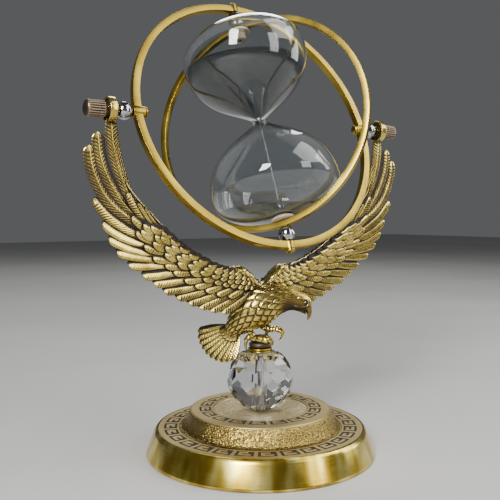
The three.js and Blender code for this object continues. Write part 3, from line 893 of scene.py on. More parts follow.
# Primary feathers as [radius, angle] places from root to tip, then the width
PRIMARIES = (
    ([(112, 55), (110.9, 63), (110.6, 70), (110.4, 77), (109.8, 83), (109.4, 90)], 9.4),
    ([(114, 54), (117.2, 62), (119.3, 69.5), (119.9, 76.5), (118.8, 83.3)], 9.0),
    ([(114.5, 50), (119, 56.5), (123.2, 61.5), (126, 67), (126.8, 73.6), (125.6, 79.8)], 9.6),
    ([(114.5, 45.5), (121.6, 52.5), (128, 59.4), (132.2, 66.0)], 9.4),
    ([(116, 42.5), (125.2, 50.5), (130.6, 55.4), (134.2, 59.4)], 8.6),
    ([(117, 39), (126.4, 46.9), (132, 51.4), (136.3, 55.1)], 8.2),
    ([(116.5, 35.5), (124.8, 43), (131.6, 47.4), (137.5, 51)], 8.2),
    ([(115.5, 32), (122.8, 38.8), (130.4, 42.8), (137.3, 46.3)], 8.2),
    ([(115, 28), (122.7, 34.5), (129.8, 38.2), (135.9, 41.4)], 8.2),
    ([(115, 24.2), (123.7, 30.6), (130, 34.4), (135.2, 37.5)], 8.0),
    ([(114.5, 20), (123.8, 26), (130.2, 30.4), (135.6, 33.8)], 8.0),
    ([(114, 16), (123, 21.8), (129.6, 26), (134.9, 29.4)], 8.0),
    ([(113.5, 12), (122.6, 17.6), (129.2, 21.8), (134.8, 25.4)], 8.0),
    ([(113.5, 8.4), (122.4, 13.8), (128.8, 18), (134.8, 21.6)], 8.0),
    ([(113.5, 5), (122, 10), (128.4, 14.2), (134.6, 17.9)], 8.0),
    ([(113.5, 2), (121.4, 6.6), (128, 10.6), (134, 14.1)], 8.0),
)
# How deep the barbs of each are cut, and how each is made. The first three stand free
BARB_CUT = (0.5, 0.45, 0.45, 0.2, 0.06, 0.06, 0.06, 0.06, 0.1, 0.16, 0.26, 0.3, 0.3, 0.3, 0.3, 0.3)

# under, under_from and hidden set how much painted shade each feather gets.
FREE = {"thick": 1.3, "crown": 0.45, "root": 0.6, "pitch": 2.5, "lift": 0.35, "slope": 1.5, "point": 0.8,
        "under": 0.95, "under_from": 0.3, "hidden": 0.12}
PACKED = {**FREE, "pitch": 2.1, "lift": 1.1, "slope": 1.9, "point": 0.85, "rachis": 0.12, "under_from": 0.0,
          "hidden": 0.3}
PRIMARY_STYLES = [{**FREE, "rachis": 0.6, "point": 2.6, "under": 0.0}, {**FREE, "rachis": 0.35},
                  {**FREE, "rachis": 0.3}, {**PACKED, "rachis": 0.2, "slope": 1.5}] + [PACKED] * 12
PROUD = [0.15, 0.5, 0.75] + [0.5] * 13

# Greater coverts, in the same way
SECONDARIES = (
    ([(110.6, 50.5), (111.2, 57), (111.4, 63)], 7.0),
    ([(111.5, 46), (114.2, 51), (116.7, 56.1)], 6.6),
    ([(112, 41.5), (116.4, 46.8), (120.3, 51.6)], 6.8),
    ([(112.4, 37.6), (117.8, 42.6), (122, 46.8)], 6.8),
    ([(112.6, 33.4), (118.4, 38.2), (123.4, 42.3)], 6.8),
    ([(112.6, 29.6), (117.6, 34), (121.8, 37.8)], 6.6),
    ([(113, 26), (118, 30.4), (122.2, 34.2)], 6.6),
    ([(113.4, 21.8), (118.8, 26), (122.8, 29.7)], 6.6),
    ([(113.4, 18), (118.8, 22), (123, 25.6)], 6.6),
    ([(113.4, 14.2), (118.8, 18), (123, 21.6)], 6.6),
    ([(113.4, 10), (118.8, 13.8), (123, 17.4)], 6.6),
    ([(113.4, 6), (118.6, 9.6), (122.8, 13)], 6.6),
)
# Rows of small coverts: radius of the tips, first and last angle, the width that each feather leaves in
# view, length, width, height over the wing, and rise towards the tip
COVERT_ROWS = (
    (116.2, 51, 2, 4.3, 10, 7.0, 1.6, 1.4),
    (112.9, 52, 2, 4.0, 9, 6.4, 2.2, 1.3),
    (109.8, 50, 2, 3.7, 8, 5.8, 2.6, 1.1),
    (106.9, 46, 12, 3.2, 6.5, 4.8, 2.8, 0.9),
)


def wing_spine(side, places, offset):
    """Places of a feather's spine, off the middle plane of the wing by an offset."""
    return np.array([on_wing(side, r, a) for r, a in places]) + offset


def covert_row(skin, side, normal, rng, radius, first, last, showing, length, width, height, rise):
    """A row of short rounded feathers whose tips lie near one radius. They grow longer towards the tip."""
    angle = first
    while angle > last:
        wobble = rng.random(3) - 0.5
        sweep = math.radians(60 - 14 * smooth((24 - angle) / 8) - 26 * smooth((13 - angle) / 7))
        tip_r = radius + 1.8 * bump(angle, 58, 8) + 1.0 * wobble[0]
        size = length * (1 + 0.12 * wobble[1]) * (1 + 0.9 * smooth((angle - 16) / 14))
        broad = 1 + 0.28 * smooth((angle - 22) / 8)
        root_a = max(angle - math.degrees(size * math.sin(sweep) / tip_r), 1.0)
        root_r = max(tip_r - size * math.cos(sweep), leading_edge(root_a) + 0.6)
        middle = (tip_r + root_r) / 2 + 0.8
        places = ((root_r, root_a), (middle, (angle + root_a) / 2), (tip_r, angle))
        spine = wing_spine(side, places, normal * height)
        feather(skin, spine, width * broad * (1 + 0.1 * wobble[2]), normal, rng, thick=0.8, crown=0.7,
                lift=0.65, toward=outward(side, angle), pitch=1.8, cut=0.06, root=0.85, rachis=0.06,
                point=0.85, rise=rise, under=0.95, hidden=0.45)
        angle -= math.degrees(showing * broad / math.cos(sweep) / radius)


def wing_arm(skin, side):
    """The leading edge of the wing: a smooth bead towards the tip and a thick scaled shoulder at the body."""
    pitch = 3.4 / EDGE_R * 57.3  # one scale is 3.4 mm long, which is this many degrees
    angles = np.linspace(-1.5, 66, 220)
    turn = turns(40)[None]
    edge = leading_edge(angles)[:, None]
    near_body = 1 - smooth((angles - 14) / 26)
    half_r = (0.9 + 1.5 * near_body + 1.4 * bump(angles, 7, 6))[:, None]
    half_y = (1.7 + 1.2 * near_body + 2.4 * bump(angles, 6, 7))[:, None]
    angles = angles[:, None] + 0 * turn
    height, shade = scale_relief(100 - angles / pitch, turn * 6 / (2 * math.pi) + 0 * angles)
    scaly = 1 - smooth((angles - 24) / 12)
    swell = 0.5 * (height - 0.6) * scaly
    r = edge + half_r + (half_r + swell) * np.cos(turn)
    y = (half_y + swell) * np.sin(turn)
    # The scales' painted shade, fading out away from the shoulder.
    chain(skin, on_wing(side, r, angles, y), shade * 0.85 * scaly)


def wing_core(skin, side):
    """The plate that all the feathers grow from, marked wholly dark as painted shade in the gaps between
    them.
    """
    rings = []
    for a in np.linspace(0.5, 64, 60):
        near = leading_edge(a) + 2.5
        far = 119 - 6 * smooth((a - 46) / 18)
        corners = ((near, -1.5), (far, -0.7), (far, 0.7), (near, 1.5))
        rings.append([on_wing(side, r, a, y) for r, y in corners])
    # Marked fully dark: painted shade where the plate shows between the feathers.
    chain(skin, rings, 1.0)


def wing_eye(skin, side):
    """The lug at the wing tip, with a sunk ring round a shoulder on both faces."""
    half = EYE_THICK / 2
    sides = 72
    near, far, deep = 4.7, 6.5, 1.1
    lower = [(HOLE_R, -half), (near, -half, 0.25), (near, deep - half), (far, deep - half),
             (far + 0.2, -half, 0.25), (EYE_R, -half, 0.9)]
    upper = [(corner[0], -corner[1], *corner[2:]) for corner in lower[::-1]]
    outline = fillet(lower + upper, 0.03, 3)
    turn = Matrix.Translation((side * EYE_X, 0, GIMBAL_Z)) @ Matrix.Rotation(math.pi / 2, 4, "Y")
    shade = [0.9 if near - 0.1 < r < far + 0.1 and abs(z) < half - 0.5 else 0.05 for r, z in outline]
    lathe(skin, outline, sides, turn, np.repeat(shade, sides))


def outward(side, degrees):
    """The way out from the gimbal's centre at an angle of the wing."""
    return np.array([side * math.sin(math.radians(degrees)), 0, -math.cos(math.radians(degrees))])


def wing(side, name, node):
    """All the feathers of one wing, on both faces."""
    rng = np.random.default_rng(SEED + (side > 0))
    front = np.array([0.0, -1.0, 0.0])
    skin = Skin()
    wing_core(skin, side)
    for (places, width), cut, style, proud in zip(PRIMARIES, BARB_CUT, PRIMARY_STYLES, PROUD):
        feather(skin, wing_spine(side, places, front * proud), width, front, rng, cut=cut,
                toward=outward(side, places[1][1]), **style)
    for normal in (front, -front):
        for k, (places, width) in enumerate(SECONDARIES):
            feather(skin, wing_spine(side, places, normal * 1.3), width, normal, rng, thick=0.9, crown=0.5,
                    lift=0.75, toward=outward(side, places[1][1]), pitch=2.0, cut=0.3 if k == 0 else 0.1,
                    rachis=0.1, root=0.7, point=0.85, rise=1.0, under=0.9, under_from=0.1, hidden=0.3)
        for row in COVERT_ROWS:
            covert_row(skin, side, normal, rng, *row)
        for r, start, stop, wide in ((108.6, 41, 58.5, 3.4), (106.6, 36, 55.5, 2.8)):
            places = [(r, a) for a in (start, (start + stop) / 2, stop)]
            feather(skin, wing_spine(side, places, normal * 2.0), wide, normal, rng, thick=0.9, crown=0.5,
                    lift=0.4, toward=outward(side, stop), pitch=2.0, cut=0.1, rachis=0.3, root=0.6,
                    point=0.8, under=0.6, hidden=0.15)
    wing_arm(skin, side)
    wing_eye(skin, side)
    make(name, skin, "stand", "antique_brass", node)


# ---------------------------------------------------------------- the eagle
BODY = (
    (-22, 0, 83.5, 4.2, 5),
    (-15, 0, 90.5, 9, 8.6),
    (-8, 0, 97.4, 12.6, 10.8),
    (0, 0, 103.2, 14.4, 11.4),
    (7, 0, 106.0, 12.6, 10.2),
    (13, 0, 107.3, 10.4, 8.8),
    (19, 0, 107.8, 8.6, 7.4),
    (24.5, 0, 107.0, 7.3, 6.2),
    (29, 0, 105.7, 6.5, 5.4),
    (32.2, 0, 104.6, 5.3, 4.4),
    (34.6, 0, 103.5, 3.4, 2.9),
    (35.6, 0, 102.9, 0.8, 0.8),
)


def body_relief(distance, turn, rows):
    """Scales grow longer and fainter towards the head, with painted shade between them. Fine lines run along
    the neck, and the underside of the neck and head gets painted shade.
    """
    ahead = rows[:, :3] @ AHEAD
    total = distance[-1, 0]
    pitch = 4.9 + 2.2 * smooth((ahead - 6) / 12)
    count = np.cumsum(np.gradient(distance[:, 0]) / pitch)
    toward_tail = (count[-1] - count)[:, None] + 0 * turn
    height, shade = scale_relief(toward_tail, 14 * turn / (2 * math.pi))
    strength = 1.35 * (1 - smooth((ahead - 3) / 20)) + 0.10 * (1 - smooth((ahead - 24) / 5))
    fade = smooth(distance / 3) * smooth((total - distance) / 3)
    show = (1 - smooth((ahead - 8) / 14))[:, None]
    lines = np.cos(turn * 30 + 3 * np.sin(toward_tail * 5)) * bump(ahead, 19, 7)[:, None]
    # Painted shade on the underside of the neck and head, stronger towards the head.
    underside_shade = 0.42 * smooth((ahead - 10) / 10)[:, None] * (0.5 - 0.5 * np.sin(turn))
    patina_and_shade = np.maximum(shade * show * 0.95, underside_shade + 0.22 * np.clip(-lines, 0, 1))
    return strength[:, None] * (height - 0.45) * fade + 0.14 * lines, patina_and_shade


def side_line(skin, side, line, around, count, shade=0.0, wide=1.0, way=ASIDE):
    """A thin tube along one side of the head, through [ahead, aside, up, radius]."""
    stations = bird([(a, side * w, z, r, r * wide) for a, w, z, r in line])
    tube(skin, stations, around, count, way, shade=shade)


def beak(skin):
    """The hooked upper bill, the lower bill, the line of the mouth, the cere and the nostrils."""
    upper = [(30.6, 0, 104.2, 3.2, 3.2), (32.8, 0, 103.2, 3.1, 2.9), (33.9, 0, 101.0, 2.4, 2.2),
             (34.5, 0, 98.6, 1.8, 1.6), (34.4, 0, 96.2, 1.3, 1.1), (33.9, 0, 94.4, 0.8, 0.7),
             (33.3, 0, 92.9, 0.3, 0.3)]
    tube(skin, bird(upper), 24, 40, shade=0.2)
    lower = [(24.5, 0, 101.6, 2.0, 3.4), (27.8, 0, 100.4, 1.7, 2.6), (30.4, 0, 98.9, 1.2, 1.8),
             (32.0, 0, 97.4, 0.5, 0.6)]
    tube(skin, bird(lower), 16, 18, shade=0.25)
    gape = ((25.8, 4.4, 102.6, 0.35), (28.8, 3.3, 101.7, 0.35), (31.2, 2.3, 100.2, 0.35),
            (33.0, 1.5, 98.2, 0.35))
    cere = ((34.6, 0.3, 106.0, 0.35), (34.0, 2.2, 105.0, 0.35), (33.2, 2.8, 103.0, 0.35),
            (32.2, 2.8, 101.0, 0.35))
    nostril = ((34.3, 2.2, 102.6, 0.1), (34.5, 2.2, 102.2, 0.35), (34.7, 2.1, 101.8, 0.1))
    for side in (-1, 1):
        for line, count, shade in ((gape, 14, 1.0), (cere, 12, 0.1), (nostril, 6, 1.0)):
            side_line(skin, side, line, 8, count, shade, way=UP)


def ball(skin, centre, r, shade):
    """A small sphere."""
    arc = [(r * math.cos(a), r * math.sin(a)) for a in np.linspace(-1.4, 1.4, 8)]
    lathe(skin, [(0, -r)] + arc + [(0, r)], 16, Matrix.Translation(centre), shade)


def ellipse(centre, one, other, a, b):
    """Eight points round an ellipse."""
    return [centre + one * a * math.cos(t) + other * b * math.sin(t) for t in turns(8)]


def face(skin):
    """Eyes sunk in dark rings, under heavy brows."""
    brow = ((24.0, 4.9, 108.6, 0.3), (27.6, 4.6, 109.2, 0.9), (31.0, 3.7, 108.7, 1.1),
            (33.4, 2.6, 107.4, 0.8), (34.8, 1.6, 106.0, 0.25))
    cheek = ((23.4, 5.2, 103.6, 0.4), (26.4, 4.8, 103.0, 1.1), (29.6, 3.9, 102.5, 1.1),
             (31.8, 3.0, 101.8, 0.4))
    for side in (-1, 1):
        eye = in_bird(31.4, side * 3.5, 105.6)
        ball(skin, eye, 1.75, 0.8)
        # A small bright ball on each eye: a painted highlight.
        ball(skin, eye + in_bird(0.35, side * 1.45, 0.35), 0.5, 0.0)
        for size, bar, shade in ((1.95, 0.5, 1.0), (2.6, 0.42, 0.1)):
            rings = []
            for turn in turns(24):
                way = in_bird(math.cos(turn), 0, math.sin(turn))
                centre = eye + way * size + ASIDE * side * (0.95 - 0.45 * max(math.cos(turn), 0))
                rings.append(ellipse(centre, way, ASIDE, bar, bar))
            chain(skin, rings, shade, closed=True)
        side_line(skin, side, brow, 12, 20, wide=1.2)
        side_line(skin, side, cheek, 12, 18, shade=0.3, wide=0.8)


def knuckled(skin, stations, knobs, amount, count, shade_between=0.8):
    """A toe or shank with rings across it, bare and horny."""
    def relief(distance, turn, rows):
        bead = np.abs(np.sin(distance / distance[-1, 0] * knobs * math.pi))
        return rows[:, 3:4] * amount * (bead - 0.6), shade_between * (1 - smooth(bead / 0.45))
    tube(skin, bird(stations), 14, count, relief=relief)


def claw(skin, stations):
    """A smooth hooked claw."""
    tube(skin, bird(stations), 12, 18, shade=0.15)


def reaching(ahead, aside, yaw, stations, drop=0.0):
    """Stations of [distance, up, thickness] that lead away from one place."""
    turn = math.radians(yaw)
    return [(ahead + d * math.cos(turn), aside + d * math.sin(turn), up - drop, thick, thick)
            for d, up, thick in stations]


def legs(skin):
    """The leg it stands on: a bare shank out of a feathered thigh, two cuffs, and toes over the perch."""
    shank = [(-8.6, -3, 94, 5.4, 4.8), (-8.8, -3, 91, 4.2, 3.8), (-8.4, -3, 88.2, 2.7, 2.6),
             (-6.8, -2.6, 84.6, 2.2, 2.1), (-4.6, -2.1, 81.2, 2.4, 2.4)]
    knuckled(skin, shank, 5, 0.08, 48)
    for high, back in ((89.0, 8.5), (87.2, 8.0)):
        centre = in_bird(-back, -2.9, high)
        rings = []
        for turn in turns(28):
            out = in_bird(math.cos(turn), math.sin(turn), 0)
            rings.append(ellipse(centre + out * 2.8, out, UP, 0.6, 0.65))
        chain(skin, rings, closed=True)
    toe = ((-1, 80.2, 2.5), (3.5, 79.7, 2.8), (7.5, 79.5, 2.8), (10.6, 79.3, 2.6), (12.6, 78.7, 1.8))
    nail = ((11.6, 79.4, 1.4), (13.6, 78.3, 1.1), (14.1, 76.6, 0.7), (13.8, 75.0, 0.3))
    for yaw in (-22, 6, 34):
        knuckled(skin, reaching(-5, -2, yaw, toe), 3, 0.07, 44, shade_between=0.3)
        claw(skin, reaching(-5, -2, yaw, nail))
    hind = [(-4, -2, 81.2, 2.1, 2.1), (-7.2, -2, 81.0, 2.0, 2.0), (-9.4, -2, 79.2, 1.7, 1.7),
            (-9.9, -2, 77, 1.3, 1.3)]
    knuckled(skin, hind, 3, 0.14, 30)
    claw(skin, [(-9.8, -2, 77.6, 1.3, 1.3), (-10.2, -2, 75, 1.0, 1.0), (-9.9, -2, 73, 0.7, 0.7),
                (-9.2, -2, 71.8, 0.2, 0.2)])


def raised_foot(skin):
    """The other leg is drawn up, with its claws hanging open."""
    shank = [(-1, 3, 92, 4.4, 4), (1.0, 3.4, 89, 3.2, 3), (3.6, 3.6, 86.8, 2.5, 2.5),
             (7, 3.6, 86.0, 2.4, 2.6)]
    knuckled(skin, shank, 4, 0.1, 40)
    toe = ((-0.5, 85.8, 2.1), (3, 86.3, 2.0), (6.2, 86.4, 1.9), (8.6, 85.7, 1.6))
    nail = ((8.0, 86.0, 1.4), (10.3, 84.9, 1.1), (10.9, 82.6, 0.8), (9.9, 80.3, 0.45), (8.4, 78.9, 0.15))
    for yaw, drop in ((-22, 0.5), (0, 0), (22, 0.4)):
        knuckled(skin, reaching(5.4, 3.6, yaw, toe, drop), 4, 0.15, 40)
        claw(skin, reaching(5.4, 3.6, yaw, nail, drop))
    claw(skin, [(5.5, 3.6, 85, 1.5, 1.5), (4.4, 3.2, 83.0, 1.2, 1.2), (4.8, 3.2, 81.2, 0.8, 0.8),
                (6.0, 3.2, 80.0, 0.25, 0.25)])


def thigh(skin):
    """Short soft feathers over the top of each leg."""
    rng = np.random.default_rng(SEED + 5)
    for ahead, aside, face_side in ((-8, -4.5, -1), (0.5, 4.8, 1)):
        for row, drop in enumerate((4.5, 2.4, 0.2)):
            for k in range(-2, 3):
                turn = math.radians(26 * k + 13 * (row % 2))
                out = in_bird(math.sin(turn), face_side * math.cos(turn), 0)
                top = in_bird(ahead, aside / 2, 96 - drop) + out * (4.6 - 0.2 * row)
                low = in_bird(ahead, aside / 2, 90.5 - drop) + out * (4.3 - 0.5 * row)
                feather(skin, [top, low], 3.6, out, rng, thick=0.8, crown=0.6, pitch=1.5, cut=0.1, root=0.8,
                        rachis=0.15, rise=0.3)


# Tips of the tail feathers as [ahead, up], from the top of the fan round to its lowest
TAIL_TIPS = ((-45.0, 83.4), (-44.6, 78.4), (-42.2, 72.8), (-37.8, 67.4), (-31.8, 64.0), (-25.4, 63.0),
             (-19.2, 64.8))


def tail(skin):
    """Long feathers fan out from under the body, with two rows of short ones over their roots."""
    rng = np.random.default_rng(SEED + 9)
    root = in_bird(-16, 0, 87.5)
    tips = [in_bird(ahead, 6 - 2 * k, up) for k, (ahead, up) in enumerate(TAIL_TIPS)]
    face_way = unit(np.cross(tips[0] - root, tips[-1] - root))
    if face_way @ ASIDE > 0:
        face_way = -face_way
    across = unit(tips[0] - tips[-1])
    fan, _ = spline(tips, 10)
    for k, tip in enumerate(fan):
        start = root + across * (2.4 - 0.53 * k)
        middle = start + (tip - start) * 0.5 + across * 0.23 * (4.5 - k)
        feather(skin, [start, middle, tip + face_way * 0.2], 6.0, face_way, rng, thick=1.0, crown=0.5,
                lift=0.8, toward=-across, pitch=2.2, cut=0.12, slope=2.0, root=0.35, rachis=0.45, point=0.7,
                under=0.95, under_from=0.1, hidden=0.2)
    for normal in (face_way, -face_way):
        for share, proud in ((0.42, 1.4), (0.28, 2.4)):
            for before, after in zip(tips, tips[1:]):
                tip = (before + after) / 2
                way = (tip - root) * share
                spine = [root + normal * proud, root + way * 0.55 + normal * (proud + 0.5),
                         root + way + normal * proud]
                feather(skin, spine, 5.6, normal, rng, thick=0.8, crown=0.7, lift=0.4, toward=-across,
                        pitch=1.8, cut=0.12, root=0.7, rachis=0.2, under=0.7, hidden=0.45)


def eagle():
    skin = Skin()
    tube(skin, bird(BODY), 150, 220, relief=body_relief)
    beak(skin)
    face(skin)
    legs(skin)
    raised_foot(skin)
    thigh(skin)
    tail(skin)
    make("eagle_figure", skin, "stand", "antique_brass", "eagle_body")


# ---------------------------------------------------------------- the gimbal
OUTER_FRAME = Matrix.Translation((0, 0, GIMBAL_Z)) @ Matrix.Rotation(-TILT, 4, "X")
INNER_FRAME = OUTER_FRAME @ Matrix.Rotation(-TURN, 4, "Z")
OUTER_INSIDE = OUTER_R - OUTER_BAR / 2
OUTER_OUTSIDE = OUTER_R + OUTER_BAR / 2
POINTING = {"top": 0, "right": math.pi / 2, "bottom": math.pi, "left": -math.pi / 2}


def pointed(frame_matrix, where):
    """A ring's frame turned so that +Z runs out to one of its four pivots."""
    return frame_matrix @ Matrix.Rotation(POINTING[where], 4, "Y")


def ring_bar(skin, r, bar, depth, frame_matrix):
    """A round hoop of square bar."""
    near, far, half = r - bar / 2, r + bar / 2, depth / 2
    outline = fillet([(near, -half), (far, -half), (far, half), (near, half)], 0.22, 3)
    lathe(skin, outline, 288, frame_matrix @ Matrix.Rotation(math.pi / 2, 4, "X"))


def outer_ring():
    """The outer hoop with its four barrels."""
    skin = Skin()
    ring_bar(skin, OUTER_R, OUTER_BAR, OUTER_DEPTH, OUTER_FRAME)
    for where in POINTING:
        low = OUTER_INSIDE - (2.4 if where in ("left", "right") else 0.01)
        high = OUTER_OUTSIDE + (1 if where in ("left", "right") else 0.6)
        corners = [(HOLE_R, low), (BOSS_R, low, 1.1), (BOSS_R, high, 0.4), (HOLE_R, high)]
        lathe(skin, fillet(corners, 0.05, 4), 48, pointed(OUTER_FRAME, where))
    make("outer_hoop", skin, "outer_gimbal", "brushed_brass", "outer_ring")


def inner_ring():
    """The inner hoop, with its small empty holes drawn as dark spots of painted shade on both faces."""
    skin = Skin()
    deep = 0.12
    ring_bar(skin, INNER_R, INNER_BAR, INNER_DEPTH, INNER_FRAME)
    for where in ("left", "right"):
        for low in (INNER_R - INNER_BAR / 2 - 0.02, INNER_R + INNER_BAR / 2 - 0.1):
            # Each hole is a thin disc marked fully dark: painted shade where the hole is.
            spot = [(0, low), (EMPTY_HOLE_R, low), (EMPTY_HOLE_R, low + deep), (0, low + deep)]
            lathe(skin, spot, 24, pointed(INNER_FRAME, where), 1.0)
    make("inner_hoop", skin, "inner_gimbal", "brushed_brass", "inner_ring")


def spacer(where, low, high):
    """A drilled chrome ball that fills the gap from low to high."""
    middle = (low + high) / 2
    limit = math.asin(min((high - low) / 2 / SPACER_R, 1))
    outline = [(HOLE_R, low)]
    for turn in np.linspace(-limit, limit, 21):
        outline.append((SPACER_R * math.cos(turn), middle + SPACER_R * math.sin(turn)))
    outline.append((HOLE_R, high))
    turned(f"chrome_ball_{where}", outline, 64, "outer_gimbal", "chrome", f"spacer_ball_{where}",
           matrix=pointed(OUTER_FRAME, where), sharp=45)


def round_head(where, head_r, head_high, seat, tip, slot, node, name, look=None):
    """A screw with a domed head. Its flat side is at seat, and its shank runs to tip."""
    up = 1 if seat > tip else -1
    rim = 0.3
    outline = [(0, tip), (SCREW_R, tip), (SCREW_R, seat), (head_r, seat), (head_r, seat + up * rim)]
    for turn in np.linspace(0.1, math.pi / 2, 9)[:-1]:
        outline.append((head_r * math.cos(turn), seat + up * (rim + (head_high - rim) * math.sin(turn))))
    outline.append((0, seat + up * head_high))
    turned(name, outline, 40, "outer_gimbal", slot, node, matrix=pointed(OUTER_FRAME, where), look=look,
           sharp=45)


def thumb_knob(where):
    """A ribbed knob: long flutes, a rounded outer end and a plain shoulder."""
    skin = Skin()
    ribs = 20
    stations = [(KNOB_LOW, 0.86), (KNOB_LOW + 0.35, 0.97), (KNOB_LOW + 0.8, 1.0)]
    stations += [(z, 1.0) for z in np.linspace(KNOB_LOW + 1.6, KNOB_HIGH - 2.6, 8)]
    for turn in np.linspace(0.12, 1.0, 8):
        angle = turn * math.pi / 2
        stations.append((KNOB_HIGH - 2.2 + 2.2 * math.sin(angle), 0.52 + 0.48 * math.cos(angle)))
    stations.append((KNOB_HIGH, 0.2))
    theta = turns(ribs * 8)
    flute = (0.5 - 0.5 * np.cos(theta * ribs)) ** 1.6
    rings = []
    shades = []
    for z, share in stations:
        deep = 0.55 * smooth((z - KNOB_LOW - 0.3) / 0.9) * smooth((KNOB_HIGH - 0.9 - z) / 2.2) * flute
        r = KNOB_R * share - deep
        rings.append(np.stack([r * np.cos(theta), r * np.sin(theta), z + 0 * theta], -1))
        shades.append(np.clip(0.25 + 1.5 * deep + 0.5 * (z > KNOB_HIGH - 1), 0, 1))
    chain(skin, placed(rings, pointed(OUTER_FRAME, where)), shades)
    make(f"knob_{where}", skin, "outer_gimbal", "dark_bronze", f"thumb_nut_{where}")


def outer_gimbal():
    """The outer hoop and all the hardware that turns with it."""
    outer_ring()
    eye_near = EYE_X - EYE_THICK / 2
    eye_far = EYE_X + EYE_THICK / 2
    for where in ("left", "right"):
        spacer(where, OUTER_OUTSIDE + 1.3, eye_near - 1.4)
        round_head(where, 3.5, 2.0, OUTER_INSIDE - 2.7, eye_far + 8, "chrome", f"axle_screw_{where}",
                   f"axle_{where}", "brushed_brass")
        thumb_knob(where)
    for where in ("top", "bottom"):
        spacer(where, INNER_R + INNER_BAR / 2 + 0.3, OUTER_INSIDE - 0.3)
        round_head(where, 3.2, 2.1, OUTER_OUTSIDE + 0.9, 67.7, "brushed_brass", f"pivot_screw_{where}",
                   f"pivot_{where}")


# ---------------------------------------------------------------- the glass and its sand
def bulb_radius(s, inset, waist):
    """Radius of a bulb at a distance s from the waist, drawn in by inset. A cone opens out of the waist
    and blends into the round of the bulb."""
    away = np.abs(s) - GLASS_S
    side = np.where(away < 0, NECK_SIDE, END_SIDE) - inset
    share = np.minimum(np.abs(away) / side, 0.999999)
    bulb = (GLASS_R - inset) * np.sqrt(1 - share ** 2)
    bend = waist + inset * math.hypot(1, NECK_SLOPE)
    cone = waist + np.hypot(bend, NECK_SLOPE * np.asarray(s)) - bend
    return (bulb ** -NECK_BLEND + cone ** -NECK_BLEND) ** (-1 / NECK_BLEND)


def glass_face(inset, waist):
    """Half the outline of the glass, from the waist to the fill hole, on the outer or the inner face."""
    neck_steps = 40
    end_steps = 24
    end = END_SIDE - inset
    last = math.acos(FILL_R / (GLASS_R - inset))
    s = [GLASS_S * (1 - math.cos(math.pi / 2 * i / neck_steps)) for i in range(neck_steps + 1)]
    s += [GLASS_S + end * math.sin(last * i / end_steps) for i in range(1, end_steps + 1)]
    return list(zip(bulb_radius(np.array(s), inset, waist), s))


def glass():
    """Two bulbs with one waist, blown as one wall."""
    outside = glass_face(0, WAIST_R)
    inside = glass_face(GLASS_WALL, ORIFICE_R)

    def below(points):
        return [(r, -s) for r, s in points[1:]]
    outline = below(outside)[::-1] + outside + inside[::-1] + below(inside)
    turned("glass_bulb_pair", outline, 128, "inner_gimbal", "clear_glass", "glass_bulbs",
           matrix=INNER_FRAME, sharp=60)


def sand_body(name, node, look, first, level, floor):
    """Sand lying against the glass between the place first and a surface that crosses the axis at level.
    The surface leans to the front and is a little uneven. floor closes the body round the axis."""
    skin = Skin()
    theta = turns(SAND_SIDES)
    front = np.cos(theta - (TURN - math.pi / 2))
    throat = ORIFICE_R - 0.3 if level > 0 else 0
    rim = np.full(SAND_SIDES, level)
    for _ in range(30):
        rim = 0.5 * rim + 0.5 * (level - SAND_LEAN * front * bulb_radius(rim, SAND_INSET, 0))
    rows = list(floor)
    for share in np.linspace(0, 1, 41) ** 1.5:
        s = first + (rim - first) * share
        rows.append((bulb_radius(s, SAND_INSET, throat), s))
    reach = bulb_radius(rim, SAND_INSET, 0)
    for share in np.linspace(1, 0, 19)[1:-1]:
        ripple = np.sin(3 * theta + 9 * share) * share * (1 - share)
        rows.append((reach * share, level - SAND_LEAN * front * reach * share + ripple))
    rows.append((0.05, level))
    rings = [np.stack([r * np.cos(theta), r * np.sin(theta), s + 0 * theta], -1) for r, s in rows]
    chain(skin, placed(rings, INNER_FRAME))
    make(name, skin, "inner_gimbal", "sand", node, look=look)


def falling_sand():
    """Separate grains on their way down the axis."""
    rng = np.random.default_rng(SEED + 3)
    skin = Skin()
    shape = bmesh.new()
    bmesh.ops.create_icosphere(shape, subdivisions=1, radius=1.0)
    points = np.array([v.co for v in shape.verts])
    faces = [tuple(v.index for v in f.verts) for f in shape.faces]
    shape.free()
    for s in np.arange(0.6, LOWER_LEVEL + 0.8, -0.95):
        spread = 0.14 + 0.22 * min(abs(s) / 40, 1)
        offset = rng.normal(0, spread, 2).clip(-0.7, 0.7)
        size = 0.30 + 0.16 * rng.random()
        squash = 0.8 + 0.4 * rng.random(3)
        skin.add(placed(points * size * squash + np.array([*offset, s]), INNER_FRAME), faces)
    make("falling_sand", skin, "inner_gimbal", "sand", "sand_stream", look="lit_sand")


def plug(where):
    """A pad on the end of the glass, with a stub in its fill hole and a dark disc of painted shade in the pin
    hole inside.
    """
    skin = Skin()
    stub = FILL_R - 0.5
    out = PLUG_FACE + 1.6
    bottom = STUB_END + 1
    outline = [(0, STUB_END), (stub - 0.4, STUB_END), (stub, STUB_END + 0.4), (stub, PLUG_FACE),
               (PLUG_R - 0.3, PLUG_FACE), (PLUG_R, PLUG_FACE + 0.3), (PLUG_R, out - 0.4), (PLUG_R - 0.4, out),
               (HOLE_R, out), (HOLE_R, bottom), (0, bottom)]
    lathe(skin, outline, 64, pointed(INNER_FRAME, where))
    # The pin hole is a thin disc marked fully dark: painted shade.
    pin_r = 1.2
    near, far = STUB_END - 0.12, STUB_END + 0.1
    lathe(skin, [(0, near), (pin_r, near), (pin_r, far), (0, far)], 24, pointed(INNER_FRAME, where), 1.0)
    make(f"end_plug_{where}", skin, "inner_gimbal", "plug", f"plug_{where}", sharp=45)


